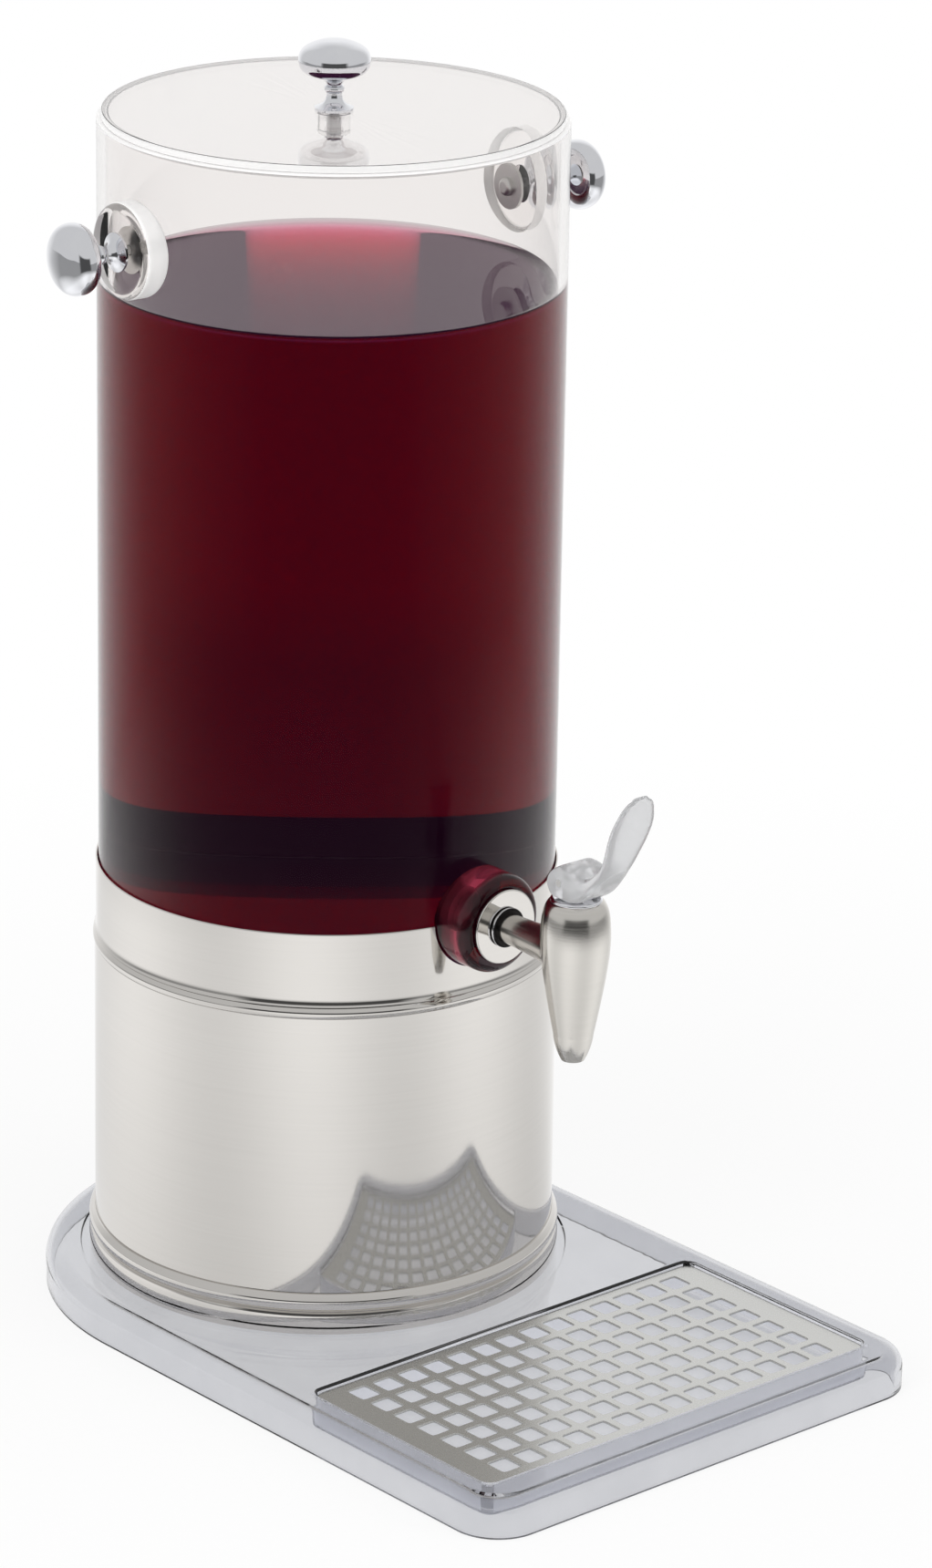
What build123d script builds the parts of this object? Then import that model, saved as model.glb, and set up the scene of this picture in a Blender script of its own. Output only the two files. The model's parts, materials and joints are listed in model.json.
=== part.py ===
from build123d import *
from math import cos, pi, radians, sin
import os

# Juice dispenser: a clear container with a lever tap, standing in a polished drum on a clear drip tray.
# Millimetres, +Z up, the front towards -Y, the origin on the table under the middle of the base.

# Base tray
BASE_WIDTH = 248.0
BASE_LENGTH = 380.0
BASE_HEIGHT = 18.0
BASE_WALL = 3.0
BASE_EDGE = 8.0  # rounding of the top edge
BASE_CORNER = 22.0  # rounding of the two front corners, seen from above
DECK_THICKNESS = 3.5
BACK_RADIUS = BASE_WIDTH / 2  # the back of the tray is a half circle about the drum's axis
AXIS_Y = BASE_LENGTH / 2 - BACK_RADIUS
SEAT_RADIUS = 108.0  # shallow round recess that the drum stands in
SEAT_DEPTH = 1.0

# Drip pan and grid
RECESS_WIDTH = 218.0
RECESS_LENGTH = 114.0
RECESS_CORNER = 5.0
RECESS_BACK = 122.5  # from the drum's axis to the recess's back edge
RECESS_Y = AXIS_Y - RECESS_BACK - RECESS_LENGTH / 2
LEDGE = 2.5  # width of the tub's rim that carries the grid
LEDGE_Z = 15.4
PAN_FLOOR_Z = 4.5
PAN_WALL = 2.5
GRID_THICKNESS = 1.0
GRID_GAP = 0.6
GRID_HOLE = (9.8, 10.8)  # across the tray and along it
GRID_PITCH = (13.8, 15.0)
GRID_COLUMNS = 14
GRID_ROWS = 7

# Drum, plinth and collar
DRUM_RADIUS = 101.8
SHEET = 1.0
DRUM_FOOT_Z = BASE_HEIGHT - SEAT_DEPTH
DRUM_TOP_Z = 163.0
FIT = 0.05  # gap between pieces that fit into each other and stay put
PLINTH_RADIUS = 104.6
PLINTH_GROOVE = 103.0  # radius where the band and the bead meet
PLINTH_BAND_TOP = 27.2
PLINTH_TOP = 35.4
PLINTH_ROLL = 0.6  # how far the band's edges are rolled in
FLOOR_SHEET = 1.2
COLLAR_RADIUS = 101.2
COLLAR_SHEET = 0.85
COLLAR_BEVEL = 0.25  # the rim's edges are broken by this much
COLLAR_TOP_Z = 201.0
COLLAR_SKIRT_Z = 153.0
BEAD_RADIUS = 102.5
BEAD_TOP_Z = 167.4
BEAD_GROOVE = 101.5
FLARE_FOOT = (101.9, 167.9)  # (radius, height) where the collar flares out over the bead
FLARE_MIDDLE = (101.37, 169.6)
FLARE_TOP_Z = 172.0
SEAT_LEDGE_Z = 177.0
SEAT_LEDGE_INNER = 88.0
SEAT_LEDGE_SHEET = 2.0
GASKET_THICKNESS = 1.5
GASKET_EDGE = 0.5  # how far the gasket stays inside the tube's outline

# Cold pack, kept in the drum under the container
PACK_RADIUS = 70.0
PACK_HEIGHT = 62.0
PACK_EDGE = 8.0
PLUG_RADIUS = 11.0
PLUG_DEPTH = 5.0
PLUG_FLANGE = 1.0
PLUG_GRIP = (16.0, 4.0, 4.0)  # length, width and height of the finger bar

# Screws that hold the drum on the tray
BASE_SCREW_RADIUS = 2.5
BASE_SCREW_CIRCLE = 82.0
BASE_SCREW_COUNT = 4
BASE_SCREW_TURN = 45.0  # the screws stand between the tray's front, back and sides
BASE_SCREW_HEAD_RADIUS = 4.6
BASE_SCREW_HEAD = 2.8
BASE_NUT_FLATS = 9.0
BASE_NUT_HEIGHT = 4.0

# Container
TUBE_RADIUS = 100.0
TUBE_WALL = 4.0
TUBE_BORE = TUBE_RADIUS - TUBE_WALL
TUBE_FOOT_Z = SEAT_LEDGE_Z + GASKET_THICKNESS
TUBE_TOP_Z = 531.0
RIM_ROUND = 0.8
CONTAINER_FLOOR = 6.0
DRILL_ROOM = 5.0  # how far a drilled hole runs past the wall on either side

# Handles
HANDLE_Z = 488.0
HANDLE_TURN = -4.5  # the handles' line is turned this far about the axis from square to the tap
HANDLE_BOSS_RADIUS = 20.5
HANDLE_FACE = 109.5  # from the tube's axis to the boss's flat face
HANDLE_BOSS_EDGE = 3.5
HANDLE_SCREW_RADIUS = 2.0
HANDLE_SCREW_REACH = 11.0  # how far the screw runs into the knob
WASHER_RADIUS = 10.0
WASHER_FACE = TUBE_BORE - 2.0
SCREW_HEAD_RADIUS = 4.0
SCREW_HEAD = 2.8
SCREW_HEAD_ROUND = 1.7

# Knobs, alike on the lid and the handles. Heights are above the foot, pairs are (radius, height)
KNOB_HEIGHT = 30.0
KNOB_RADIUS = 15.3
KNOB_WIDEST = 21.0
KNOB_FOOT_RADIUS = 8.3
KNOB_FOOT_EDGE = 1.0
KNOB_NECK_RADIUS = 3.3
KNOB_BEAD_RADIUS = 4.3
KNOB_SHOULDER = 3.4
KNOB_BEAD_LOW = 7.2
KNOB_BEAD_HIGH = 10.6
KNOB_UNDERSIDE = (9.4, 14.4)
KNOB_CROWN = (10.1, 27.9)
KNOB_TAP_DEPTH = 12.0

# Lid
LID_RADIUS = 98.0
LID_THICKNESS = 3.2
LID_EDGE = 0.8
LID_DISC_RADIUS = 95.3
LID_DISC_THICKNESS = 2.6
LID_TOP_Z = TUBE_TOP_Z + LID_THICKNESS
LID_SPACER_RADIUS = 7.0
LID_SPACER_HEIGHT = 9.0
LID_SCREW_RADIUS = 2.0

# Tap
TAP_Z = 201.5
TAP_REACH = 162.4  # from the drum's axis to the tap's upright axis
TAP_Y = AXIS_Y - TAP_REACH
TAP_BOSS_RADIUS = 22.0
TAP_BOSS_FACE = 116.5
TAP_BOSS_EDGE = 5.0
BOSS_ROOT = 86.0  # where a boss starts before the tube's curve is cut from it
NOTCH_GAP = 0.6
NOTCH_ROOT = 94.0  # the collar's notch starts this far from the axis
SHANK_RADIUS = 5.5
SHANK_BORE = 4.0
SHANK_INNER_END = 84.5
SHANK_OUTER_END = 147.0
PORT_GAP = 0.3
TAP_SEAL_RADIUS = 14.0
TAP_SEAL_THICKNESS = 0.8
FLANGE_RADIUS = 16.4  # polished plate between the boss and the ferrule
FLANGE_THICKNESS = 1.2
FLANGE_EDGE = 0.5
FERRULE_RADIUS = 8.8
FERRULE_LENGTH = 2.4
FERRULE_ROUND = 1.1
INNER_SEAL_RADIUS = 13.0
INNER_SEAL_FACE = 92.5
TAP_NUT_FLATS = 22.0
TAP_NUT_HEIGHT = 6.0
NECK_RADIUS = 6.6
NECK_FLARE = (7.4, 140.0)  # (radius, reach) where the neck begins to swell into the body
NECK_END = (12.2, 157.0)
SPOUT_TIP_Z = 155.0
SPOUT_SEAM = (8.7, 167.0)  # (radius, height) where the spout tip meets the body
SPOUT_SIDE = (7.2, 160.0)
SPOUT_LIP = 0.6
SPIGOT_RADIUS = 6.2
SPIGOT_HEIGHT = 3.0
OUTLET_RADIUS = 4.4
BODY_SIDE = [(11.3, 180.6), (13.8, 196.0), (15.0, 210.0), (14.5, 219.0), (13.1, 224.4)]  # (radius, height)
BODY_LIP = (11.1, 227.0)
VALVE_SEAT_Z = 176.0
VALVE_SEAT_BEVEL = 1.0
CHAMBER_RADIUS = 8.5
CHAMBER_TOP_Z = 217.0
BONNET_RADIUS = 10.5
BONNET_TOP_Z = 228.4
BONNET_PLUG_Z = 218.6
BONNET_CROWN = [(10.8, 228.0), (9.7, BONNET_TOP_Z)]  # arc of the bonnet's edge, (radius, height)
ORING_RADIUS = 0.75

# Valve and lever. Lever points are (forward, up) from the pin
STEM_RADIUS = 3.0
RUNNING_GAP = 0.05
PIN_RADIUS = 1.5
PIN_Z = 236.6
STEM_TOP_Z = 240.6
STEM_FOOT_Z = 179.0
STEM_BUTTON_RADIUS = 4.6
STEM_BUTTON = 1.5
TONGUE_HALF = 2.2
TONGUE_FOOT_Z = 224.0  # low enough that the round stem never reaches the lever's fork
SPRING_COLLAR_Z = 184.5
SPRING_COLLAR_RADIUS = 6.8
SPRING_COLLAR = 1.4
CUP_RADIUS = 7.6
CUP_GAP = 0.3
CUP_TAPER = 0.8
CUP_LIP = 1.0
SPRING_RADIUS = 5.4
SPRING_WIRE = 0.5  # radius of the wire
SPRING_TURNS = 7
SPRING_CLEAR = 0.2
LEVER_HALF_WIDTH = 10.5
HUB_RADIUS = 7.0
HUB_HEEL = 4.0  # how far the hub's flat foot runs behind the pin
HUB_SIDES_Z = 236.5  # the hub's sides are straight up to here
HUB_NECK = (12.0, 4.6)
FORK_HALF = 2.5
FORK_ROOM = 1.4
FORK_FRONT = 13.0  # the fork is open this far ahead of the pin, where the stem swings as the lever turns
FORK_ROOF = 1.5  # how far below the pin that open stretch ends
CAM_GAP = 0.25
CAM_BASE = PIN_Z - BONNET_TOP_Z - CAM_GAP
PULL = radians(40)  # full pull of the lever
STEM_LIFT = 4.0  # what the cam lifts the stem by at full pull
PADDLE_TIP = (38.6, 46.4)
PADDLE_MIDDLE = (32.8, 27.4)
PADDLE_FOOT = (24.4, 8.8)
PADDLE_THICKNESS = 3.4
PADDLE_TIP_THICKNESS = 2.2
PADDLE_ROOT = (8.6, 246.0)  # (half width, height) where the paddle is narrowest
PADDLE_WIDEST = (11.6, 267.0)

at_axis = Pos(0, AXIS_Y, 0)
at_tap = Pos(0, TAP_Y, 0)


def save(name, shape):
    """Write one node, and say what it is."""
    shape.label = name
    export_step(shape, f"parts/{name}.step")
    print(f"{name}: {len(shape.solids())} solid, {shape.volume / 1000:.2f} cm3")


def outline(start, *steps):
    """Closed face in the XZ plane from (radius, height) points. Two points in one step are an arc."""
    edges = []
    here = start
    for step in (*steps, start):
        if isinstance(step[0], tuple):
            edges.append(ThreePointArc(here, *step))
            here = step[1]
        elif step != here:
            edges.append(Line(here, step))
            here = step
    return make_face(Plane.XZ * (Curve() + edges))


def turned(start, *steps):
    """Solid of revolution about Z from an outline of (radius, height) points and arcs."""
    return revolve(outline(start, *steps), Axis.Z)


def turned_curve(edges):
    """Solid of revolution about Z from the edges of a closed (radius, height) outline."""
    return revolve(make_face(Plane.XZ * (Curve() + edges)), Axis.Z)


def disc(radius, low, high, bore=0.0):
    """Flat round plate about Z between two heights, with an optional hole in the middle."""
    plate = Pos(0, 0, low) * extrude(Circle(radius), high - low)
    if bore:
        plate -= Pos(0, 0, low) * extrude(Circle(bore), high - low)
    return plate


def along_front(shape, height):
    """Turn a piece made along +Z to point forwards from the drum's axis, at a height."""
    return Pos(0, AXIS_Y, height) * Rot(90, 0, 0) * shape


def along_handle(shape, side):
    """Turn a piece made along +Z to point along the left (-1) or right (+1) handle's axis."""
    return Pos(0, AXIS_Y, HANDLE_Z) * Rot(0, 0, HANDLE_TURN) * Rot(0, 90 * side, 0) * shape


def hexagon_nut(flats, low, high, bore):
    """Hexagon nut about Z, given by its width across flats."""
    return Pos(0, 0, low) * extrude(RegularPolygon(flats / 2, 6, major_radius=False) - Circle(bore), high - low)


# Base tray: a moulded shell with a skirt, an opening for the drip tub and a round seat for the drum
def tray_block(inset, height, edge):
    """The tray's outline drawn in by an inset and raised to a height, with its top edge rounded."""
    half = BASE_WIDTH / 2 - inset
    front = -BASE_LENGTH / 2 + inset
    plan = Pos(0, (front + AXIS_Y) / 2) * Rectangle(2 * half, AXIS_Y - front) + Pos(0, AXIS_Y) * Circle(half)
    plan = fillet(plan.vertices().group_by(Axis.Y)[0], BASE_CORNER - inset)
    block = extrude(plan, height)
    return fillet(block.edges().group_by(Axis.Z)[-1], edge)


def recess_block(inset, low, high):
    """Rounded block on the drip recess's plan, drawn in by an inset."""
    plan = RectangleRounded(RECESS_WIDTH - 2 * inset, RECESS_LENGTH - 2 * inset, RECESS_CORNER - inset)
    return Pos(0, RECESS_Y, low) * extrude(plan, high - low)


base_screws_at = at_axis * PolarLocations(BASE_SCREW_CIRCLE, BASE_SCREW_COUNT, BASE_SCREW_TURN)
base_screw_hole = BASE_SCREW_RADIUS + PORT_GAP
deck_under = BASE_HEIGHT - DECK_THICKNESS
tray = tray_block(0, BASE_HEIGHT, BASE_EDGE) - tray_block(BASE_WALL, deck_under, BASE_EDGE - BASE_WALL)
tray -= recess_block(0, 0, BASE_HEIGHT)
tray -= at_axis * disc(SEAT_RADIUS, DRUM_FOOT_Z, BASE_HEIGHT)
for place in base_screws_at:
    tray -= place * disc(base_screw_hole, 0, BASE_HEIGHT)

# Drip tub: a clear box bonded into the deck's opening, with its rim below the deck as a ledge for the grid
drip_tub = recess_block(FIT, PAN_FLOOR_Z - PAN_WALL, LEDGE_Z)
drip_tub -= recess_block(LEDGE, PAN_FLOOR_Z, LEDGE_Z)

# Drip grid: a punched sheet lying on the tub's rim
grid_plan = RectangleRounded(
    RECESS_WIDTH - 2 * GRID_GAP, RECESS_LENGTH - 2 * GRID_GAP, RECESS_CORNER - GRID_GAP
)
for place in GridLocations(*GRID_PITCH, GRID_COLUMNS, GRID_ROWS):
    grid_plan -= place * Rectangle(*GRID_HOLE)
drip_grid = Pos(0, RECESS_Y, LEDGE_Z) * extrude(grid_plan, GRID_THICKNESS)

# Drum: a rolled shell on a flat floor, with a beaded plinth round its foot
floor_top = DRUM_FOOT_Z + FLOOR_SHEET
drum_shell = at_axis * disc(DRUM_RADIUS, DRUM_FOOT_Z, DRUM_TOP_Z, DRUM_RADIUS - SHEET)
drum_floor = at_axis * disc(DRUM_RADIUS - SHEET - FIT, DRUM_FOOT_Z, floor_top)
for place in base_screws_at:
    drum_floor -= place * disc(base_screw_hole, 0, floor_top)
plinth_inner = DRUM_RADIUS + FIT
band_edge = PLINTH_RADIUS - PLINTH_ROLL
band_middle = (DRUM_FOOT_Z + PLINTH_BAND_TOP) / 2
bead_middle = (PLINTH_BAND_TOP + PLINTH_TOP) / 2
plinth_ring = at_axis * turned(
    (plinth_inner, DRUM_FOOT_Z),
    (band_edge, DRUM_FOOT_Z),
    ((PLINTH_RADIUS, band_middle), (band_edge, PLINTH_BAND_TOP - PLINTH_ROLL)),
    (PLINTH_GROOVE, PLINTH_BAND_TOP),
    ((PLINTH_RADIUS, bead_middle), (PLINTH_GROOVE, PLINTH_TOP - PLINTH_ROLL)),
    (plinth_inner, PLINTH_TOP),
)

nut_top = floor_top + BASE_NUT_HEIGHT
nut = hexagon_nut(BASE_NUT_FLATS, floor_top, nut_top, BASE_SCREW_RADIUS + FIT)
screw = disc(BASE_SCREW_HEAD_RADIUS, deck_under - BASE_SCREW_HEAD, deck_under)
screw += disc(BASE_SCREW_RADIUS, deck_under, nut_top)
drum_nuts = Part() + [place * nut for place in base_screws_at]
base_screws = Part() + [place * screw for place in base_screws_at]

# Collar: a spun ring in the drum's mouth, beaded outside, with a ledge inside that carries the container
skirt_outer = DRUM_RADIUS - SHEET - FIT
skirt_inner = skirt_outer - SHEET
collar_inner = COLLAR_RADIUS - COLLAR_SHEET
rim_z = COLLAR_TOP_Z - COLLAR_BEVEL
collar_ring = at_axis * turned(
    (skirt_outer, COLLAR_SKIRT_Z),
    (skirt_outer, DRUM_TOP_Z),
    (DRUM_RADIUS, DRUM_TOP_Z),
    ((BEAD_RADIUS, (DRUM_TOP_Z + BEAD_TOP_Z) / 2), (BEAD_GROOVE, BEAD_TOP_Z)),
    FLARE_FOOT,
    (FLARE_MIDDLE, (COLLAR_RADIUS, FLARE_TOP_Z)),
    (COLLAR_RADIUS, rim_z),
    (COLLAR_RADIUS - COLLAR_BEVEL, COLLAR_TOP_Z),
    (collar_inner + COLLAR_BEVEL, COLLAR_TOP_Z),
    (collar_inner, rim_z),
    (collar_inner, SEAT_LEDGE_Z),
    (SEAT_LEDGE_INNER, SEAT_LEDGE_Z),
    (SEAT_LEDGE_INNER, SEAT_LEDGE_Z - SEAT_LEDGE_SHEET),
    (skirt_inner, SEAT_LEDGE_Z - SEAT_LEDGE_SHEET),
    (skirt_inner, COLLAR_SKIRT_Z),
)
notch_radius = TAP_BOSS_RADIUS + NOTCH_GAP
collar_ring -= along_front(disc(notch_radius, NOTCH_ROOT, TAP_BOSS_FACE), TAP_Z)
seat_gasket = at_axis * disc(
    TUBE_RADIUS - GASKET_EDGE, SEAT_LEDGE_Z, TUBE_FOOT_Z, SEAT_LEDGE_INNER + GASKET_EDGE
)

# Cold pack: a sealed bottle-like disc with a filler plug
pack_top = floor_top + PACK_HEIGHT
plug_top = pack_top + PLUG_FLANGE
grip_length, grip_width, grip_height = PLUG_GRIP
cold_pack = disc(PACK_RADIUS, floor_top, pack_top)
cold_pack = fillet(cold_pack.edges(), PACK_EDGE)
cold_pack -= disc(PLUG_RADIUS + FIT, pack_top - PLUG_DEPTH, pack_top)
cold_pack = at_axis * cold_pack
pack_plug = disc(PLUG_RADIUS, pack_top - PLUG_DEPTH, plug_top)
pack_plug += Pos(0, 0, plug_top) * extrude(Rectangle(grip_length, grip_width), grip_height)
pack_plug = at_axis * pack_plug

# Container: a clear tube with a floor bonded into its foot, pierced for the tap and the handles
tube = at_axis * turned(
    (TUBE_BORE, TUBE_FOOT_Z),
    (TUBE_RADIUS, TUBE_FOOT_Z),
    (TUBE_RADIUS, TUBE_TOP_Z - RIM_ROUND),
    (TUBE_RADIUS - RIM_ROUND, TUBE_TOP_Z),
    (TUBE_BORE + RIM_ROUND, TUBE_TOP_Z),
    (TUBE_BORE, TUBE_TOP_Z - RIM_ROUND),
)
drill_from = TUBE_BORE - DRILL_ROOM
drill_to = TUBE_RADIUS + DRILL_ROOM
handle_hole = HANDLE_SCREW_RADIUS + PORT_GAP
tube -= along_front(disc(SHANK_RADIUS + PORT_GAP, drill_from, drill_to), TAP_Z)
for side in (-1, 1):
    tube -= along_handle(disc(handle_hole, drill_from, drill_to), side)
container_floor = at_axis * disc(TUBE_BORE - FIT, TUBE_FOOT_Z, TUBE_FOOT_Z + CONTAINER_FLOOR)

tube_core = at_axis * disc(TUBE_RADIUS + FIT, 0, TUBE_TOP_Z)
tube_inside = at_axis * disc(TUBE_BORE - FIT, 0, TUBE_TOP_Z)


def boss(radius, face, edge, bore):
    """Clear round boss along +Z with a rounded front edge and a hole for its bolt."""
    block = disc(radius, BOSS_ROOT, face)
    block = fillet(block.edges().group_by(Axis.Z)[-1], edge)
    return block - disc(bore, BOSS_ROOT, face)


def knob(foot):
    """Mushroom knob along +Z, standing on its foot, with a blind threaded hole."""
    shoulder = (KNOB_FOOT_RADIUS, foot + KNOB_FOOT_EDGE)
    bead_low = (KNOB_NECK_RADIUS, foot + KNOB_BEAD_LOW)
    bead_high = (KNOB_NECK_RADIUS, foot + KNOB_BEAD_HIGH)
    bead_out = (KNOB_BEAD_RADIUS, foot + (KNOB_BEAD_LOW + KNOB_BEAD_HIGH) / 2)
    underside = (KNOB_UNDERSIDE[0], foot + KNOB_UNDERSIDE[1])
    widest = (KNOB_RADIUS, foot + KNOB_WIDEST)
    crown = (KNOB_CROWN[0], foot + KNOB_CROWN[1])
    top = (0, foot + KNOB_HEIGHT)
    solid = turned_curve([
        Line((0, foot), (KNOB_FOOT_RADIUS, foot)),
        Line((KNOB_FOOT_RADIUS, foot), shoulder),
        Spline(shoulder, (KNOB_BEAD_RADIUS, foot + KNOB_SHOULDER), bead_low, tangents=((-1, 0.4), (0, 1))),
        ThreePointArc(bead_low, bead_out, bead_high),
        Spline(bead_high, underside, widest, tangents=((0.3, 1), (0, 1))),
        Spline(widest, crown, top, tangents=((0, 1), (-1, 0))),
        Line(top, (0, foot)),
    ])
    return solid - disc(HANDLE_SCREW_RADIUS + FIT, foot, foot + KNOB_TAP_DEPTH)


def pan_screw(radius, seat, end):
    """Round-headed screw along +Z, its head just below the seat and its thread up to the end."""
    head = disc(SCREW_HEAD_RADIUS, seat - SCREW_HEAD, seat)
    head = fillet(head.edges().group_by(Axis.Z)[0], SCREW_HEAD_ROUND)
    return head + disc(radius, seat, end)


# Handles: a clear saddle boss, a knob and its screw on each side of the tube
handle_boss = boss(HANDLE_BOSS_RADIUS, HANDLE_FACE, HANDLE_BOSS_EDGE, handle_hole)
washer = disc(WASHER_RADIUS, WASHER_FACE, TUBE_BORE, handle_hole)
handle_screw = pan_screw(HANDLE_SCREW_RADIUS, WASHER_FACE, HANDLE_FACE + HANDLE_SCREW_REACH)
handle_bosses = {}
handle_knobs = {}
handle_washers = Part()
handle_screws = Part()
for side, name in ((-1, "left"), (1, "right")):
    handle_bosses[name] = along_handle(handle_boss, side) - tube_core
    handle_knobs[name] = along_handle(knob(HANDLE_FACE), side)
    handle_washers += along_handle(washer, side) & tube_inside
    handle_screws += along_handle(handle_screw, side)

# Lid: a clear disc on the rim, centred by a smaller disc bonded under it
lid_screw_hole = LID_SCREW_RADIUS + PORT_GAP
lid_under = TUBE_TOP_Z - LID_DISC_THICKNESS
spacer_under = lid_under - LID_SPACER_HEIGHT
lid_disc = disc(LID_RADIUS, TUBE_TOP_Z, LID_TOP_Z)
lid_disc = fillet(lid_disc.edges(), LID_EDGE)
lid_disc = at_axis * (lid_disc - disc(lid_screw_hole, TUBE_TOP_Z, LID_TOP_Z))
lid_centring_disc = at_axis * disc(LID_DISC_RADIUS, lid_under, TUBE_TOP_Z, lid_screw_hole)
lid_spacer = at_axis * disc(LID_SPACER_RADIUS, spacer_under, lid_under, lid_screw_hole)
lid_screw = at_axis * pan_screw(LID_SCREW_RADIUS, spacer_under, LID_TOP_Z + HANDLE_SCREW_REACH)
lid_knob = at_axis * knob(LID_TOP_Z)

# Tap fixing: boss, shank, seals, flange, ferrule and the nut inside the container
shank_fit = SHANK_RADIUS + FIT
seal_front = TAP_BOSS_FACE + TAP_SEAL_THICKNESS
flange_front = seal_front + FLANGE_THICKNESS
ferrule_front = flange_front + FERRULE_LENGTH
tap_boss = along_front(boss(TAP_BOSS_RADIUS, TAP_BOSS_FACE, TAP_BOSS_EDGE, SHANK_RADIUS + PORT_GAP), TAP_Z)
tap_boss -= tube_core
tap_shank = along_front(disc(SHANK_RADIUS, SHANK_INNER_END, SHANK_OUTER_END, SHANK_BORE), TAP_Z)
tap_outer_seal = along_front(disc(TAP_SEAL_RADIUS, TAP_BOSS_FACE, seal_front, shank_fit), TAP_Z)
flange = disc(FLANGE_RADIUS, seal_front, flange_front)
flange = fillet(flange.edges().group_by(Axis.Z)[-1], FLANGE_EDGE) - disc(shank_fit, seal_front, flange_front)
tap_flange = along_front(flange, TAP_Z)
ferrule = disc(FERRULE_RADIUS, flange_front, ferrule_front)
ferrule = fillet(ferrule.edges(), FERRULE_ROUND) - disc(shank_fit, flange_front, ferrule_front)
tap_ferrule = along_front(ferrule, TAP_Z)
tap_inner_seal = along_front(disc(INNER_SEAL_RADIUS, INNER_SEAL_FACE, TUBE_BORE, shank_fit), TAP_Z)
tap_inner_seal &= tube_inside
nut_back = INNER_SEAL_FACE - TAP_NUT_HEIGHT
tap_nut = along_front(hexagon_nut(TAP_NUT_FLATS, nut_back, INNER_SEAL_FACE, shank_fit), TAP_Z)

# Tap body: a drop-shaped casting with a flared neck, bored for the valve
seam_z = SPOUT_SEAM[1]
spigot_top = seam_z + SPIGOT_HEIGHT
lip_z = BODY_LIP[1]
tap_body = at_tap * turned_curve([
    Spline(SPOUT_SEAM, *BODY_SIDE, BODY_LIP, tangents=((0.2, 1), (-1, 0.5))),
    Line(BODY_LIP, (0, lip_z)),
    Line((0, lip_z), (0, seam_z)),
    Line((0, seam_z), SPOUT_SEAM),
])
neck_root = (NECK_RADIUS, ferrule_front)
neck = turned_curve([
    Line((0, ferrule_front), neck_root),
    Spline(neck_root, NECK_FLARE, NECK_END, tangents=((0, 1), (0.9, 1))),
    Line(NECK_END, (0, NECK_END[1])),
    Line((0, NECK_END[1]), (0, ferrule_front)),
])
tap_body += along_front(neck, TAP_Z)
tap_body -= at_tap * turned(
    (0, seam_z),
    (SPIGOT_RADIUS + FIT, seam_z),
    (SPIGOT_RADIUS + FIT, spigot_top + FIT),
    (OUTLET_RADIUS, spigot_top + FIT),
    (OUTLET_RADIUS, VALVE_SEAT_Z - VALVE_SEAT_BEVEL),
    (OUTLET_RADIUS + VALVE_SEAT_BEVEL, VALVE_SEAT_Z),
    (CHAMBER_RADIUS, VALVE_SEAT_Z),
    (CHAMBER_RADIUS, CHAMBER_TOP_Z),
    (BONNET_RADIUS + FIT, CHAMBER_TOP_Z),
    (BONNET_RADIUS + FIT, lip_z),
    (0, lip_z),
)
tap_body -= along_front(disc(shank_fit, ferrule_front, SHANK_OUTER_END), TAP_Z)
tap_body -= along_front(disc(SHANK_BORE, SHANK_OUTER_END, TAP_REACH), TAP_Z)
spout_tip = at_tap * turned(
    (OUTLET_RADIUS, SPOUT_TIP_Z + SPOUT_LIP),
    (OUTLET_RADIUS + SPOUT_LIP, SPOUT_TIP_Z),
    (SPOUT_SIDE, SPOUT_SEAM),
    (SPIGOT_RADIUS, seam_z),
    (SPIGOT_RADIUS, spigot_top),
    (OUTLET_RADIUS, spigot_top),
)
stem_bore = STEM_RADIUS + RUNNING_GAP
tap_bonnet = at_tap * turned(
    (stem_bore, BONNET_PLUG_Z),
    (BONNET_RADIUS, BONNET_PLUG_Z),
    (BONNET_RADIUS, lip_z),
    BODY_LIP,
    tuple(BONNET_CROWN),
    (stem_bore, BONNET_TOP_Z),
)
oring_middle = (CHAMBER_RADIUS + BONNET_RADIUS) / 2
bonnet_oring = at_tap * Pos(0, 0, (CHAMBER_TOP_Z + BONNET_PLUG_Z) / 2) * Torus(oring_middle, ORING_RADIUS)

# Valve: a stem with a silicone cup below, a spring collar, and a flat tongue above for the lever's pin
spring_seat = SPRING_COLLAR_Z + SPRING_COLLAR
button_top = STEM_FOOT_Z + STEM_BUTTON
stem = disc(STEM_RADIUS, STEM_FOOT_Z, STEM_TOP_Z)
stem += disc(SPRING_COLLAR_RADIUS, SPRING_COLLAR_Z, spring_seat)
stem += disc(STEM_BUTTON_RADIUS, STEM_FOOT_Z, button_top)
tongue_height = STEM_TOP_Z - TONGUE_FOOT_Z
for side in (-1, 1):
    stem -= Pos(side * (TONGUE_HALF + STEM_RADIUS), 0, TONGUE_FOOT_Z + tongue_height / 2) * Box(
        2 * STEM_RADIUS, 4 * STEM_RADIUS, tongue_height
    )
across = Pos(0, 0, PIN_Z) * Rot(0, 90, 0)
valve_stem = at_tap * (stem - across * Cylinder(PIN_RADIUS + FIT, 4 * STEM_RADIUS))
cup_foot = VALVE_SEAT_Z + CUP_GAP
cup = turned(
    (0, cup_foot),
    (CUP_RADIUS - CUP_LIP, cup_foot),
    (CUP_RADIUS, cup_foot + CUP_LIP),
    (CUP_RADIUS - CUP_TAPER, SPRING_COLLAR_Z),
    (0, SPRING_COLLAR_Z),
)
cup -= disc(STEM_RADIUS + FIT, STEM_FOOT_Z, SPRING_COLLAR_Z)
cup -= disc(STEM_BUTTON_RADIUS + FIT, STEM_FOOT_Z - FIT, button_top + FIT)
seat_cup = at_tap * cup
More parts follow.
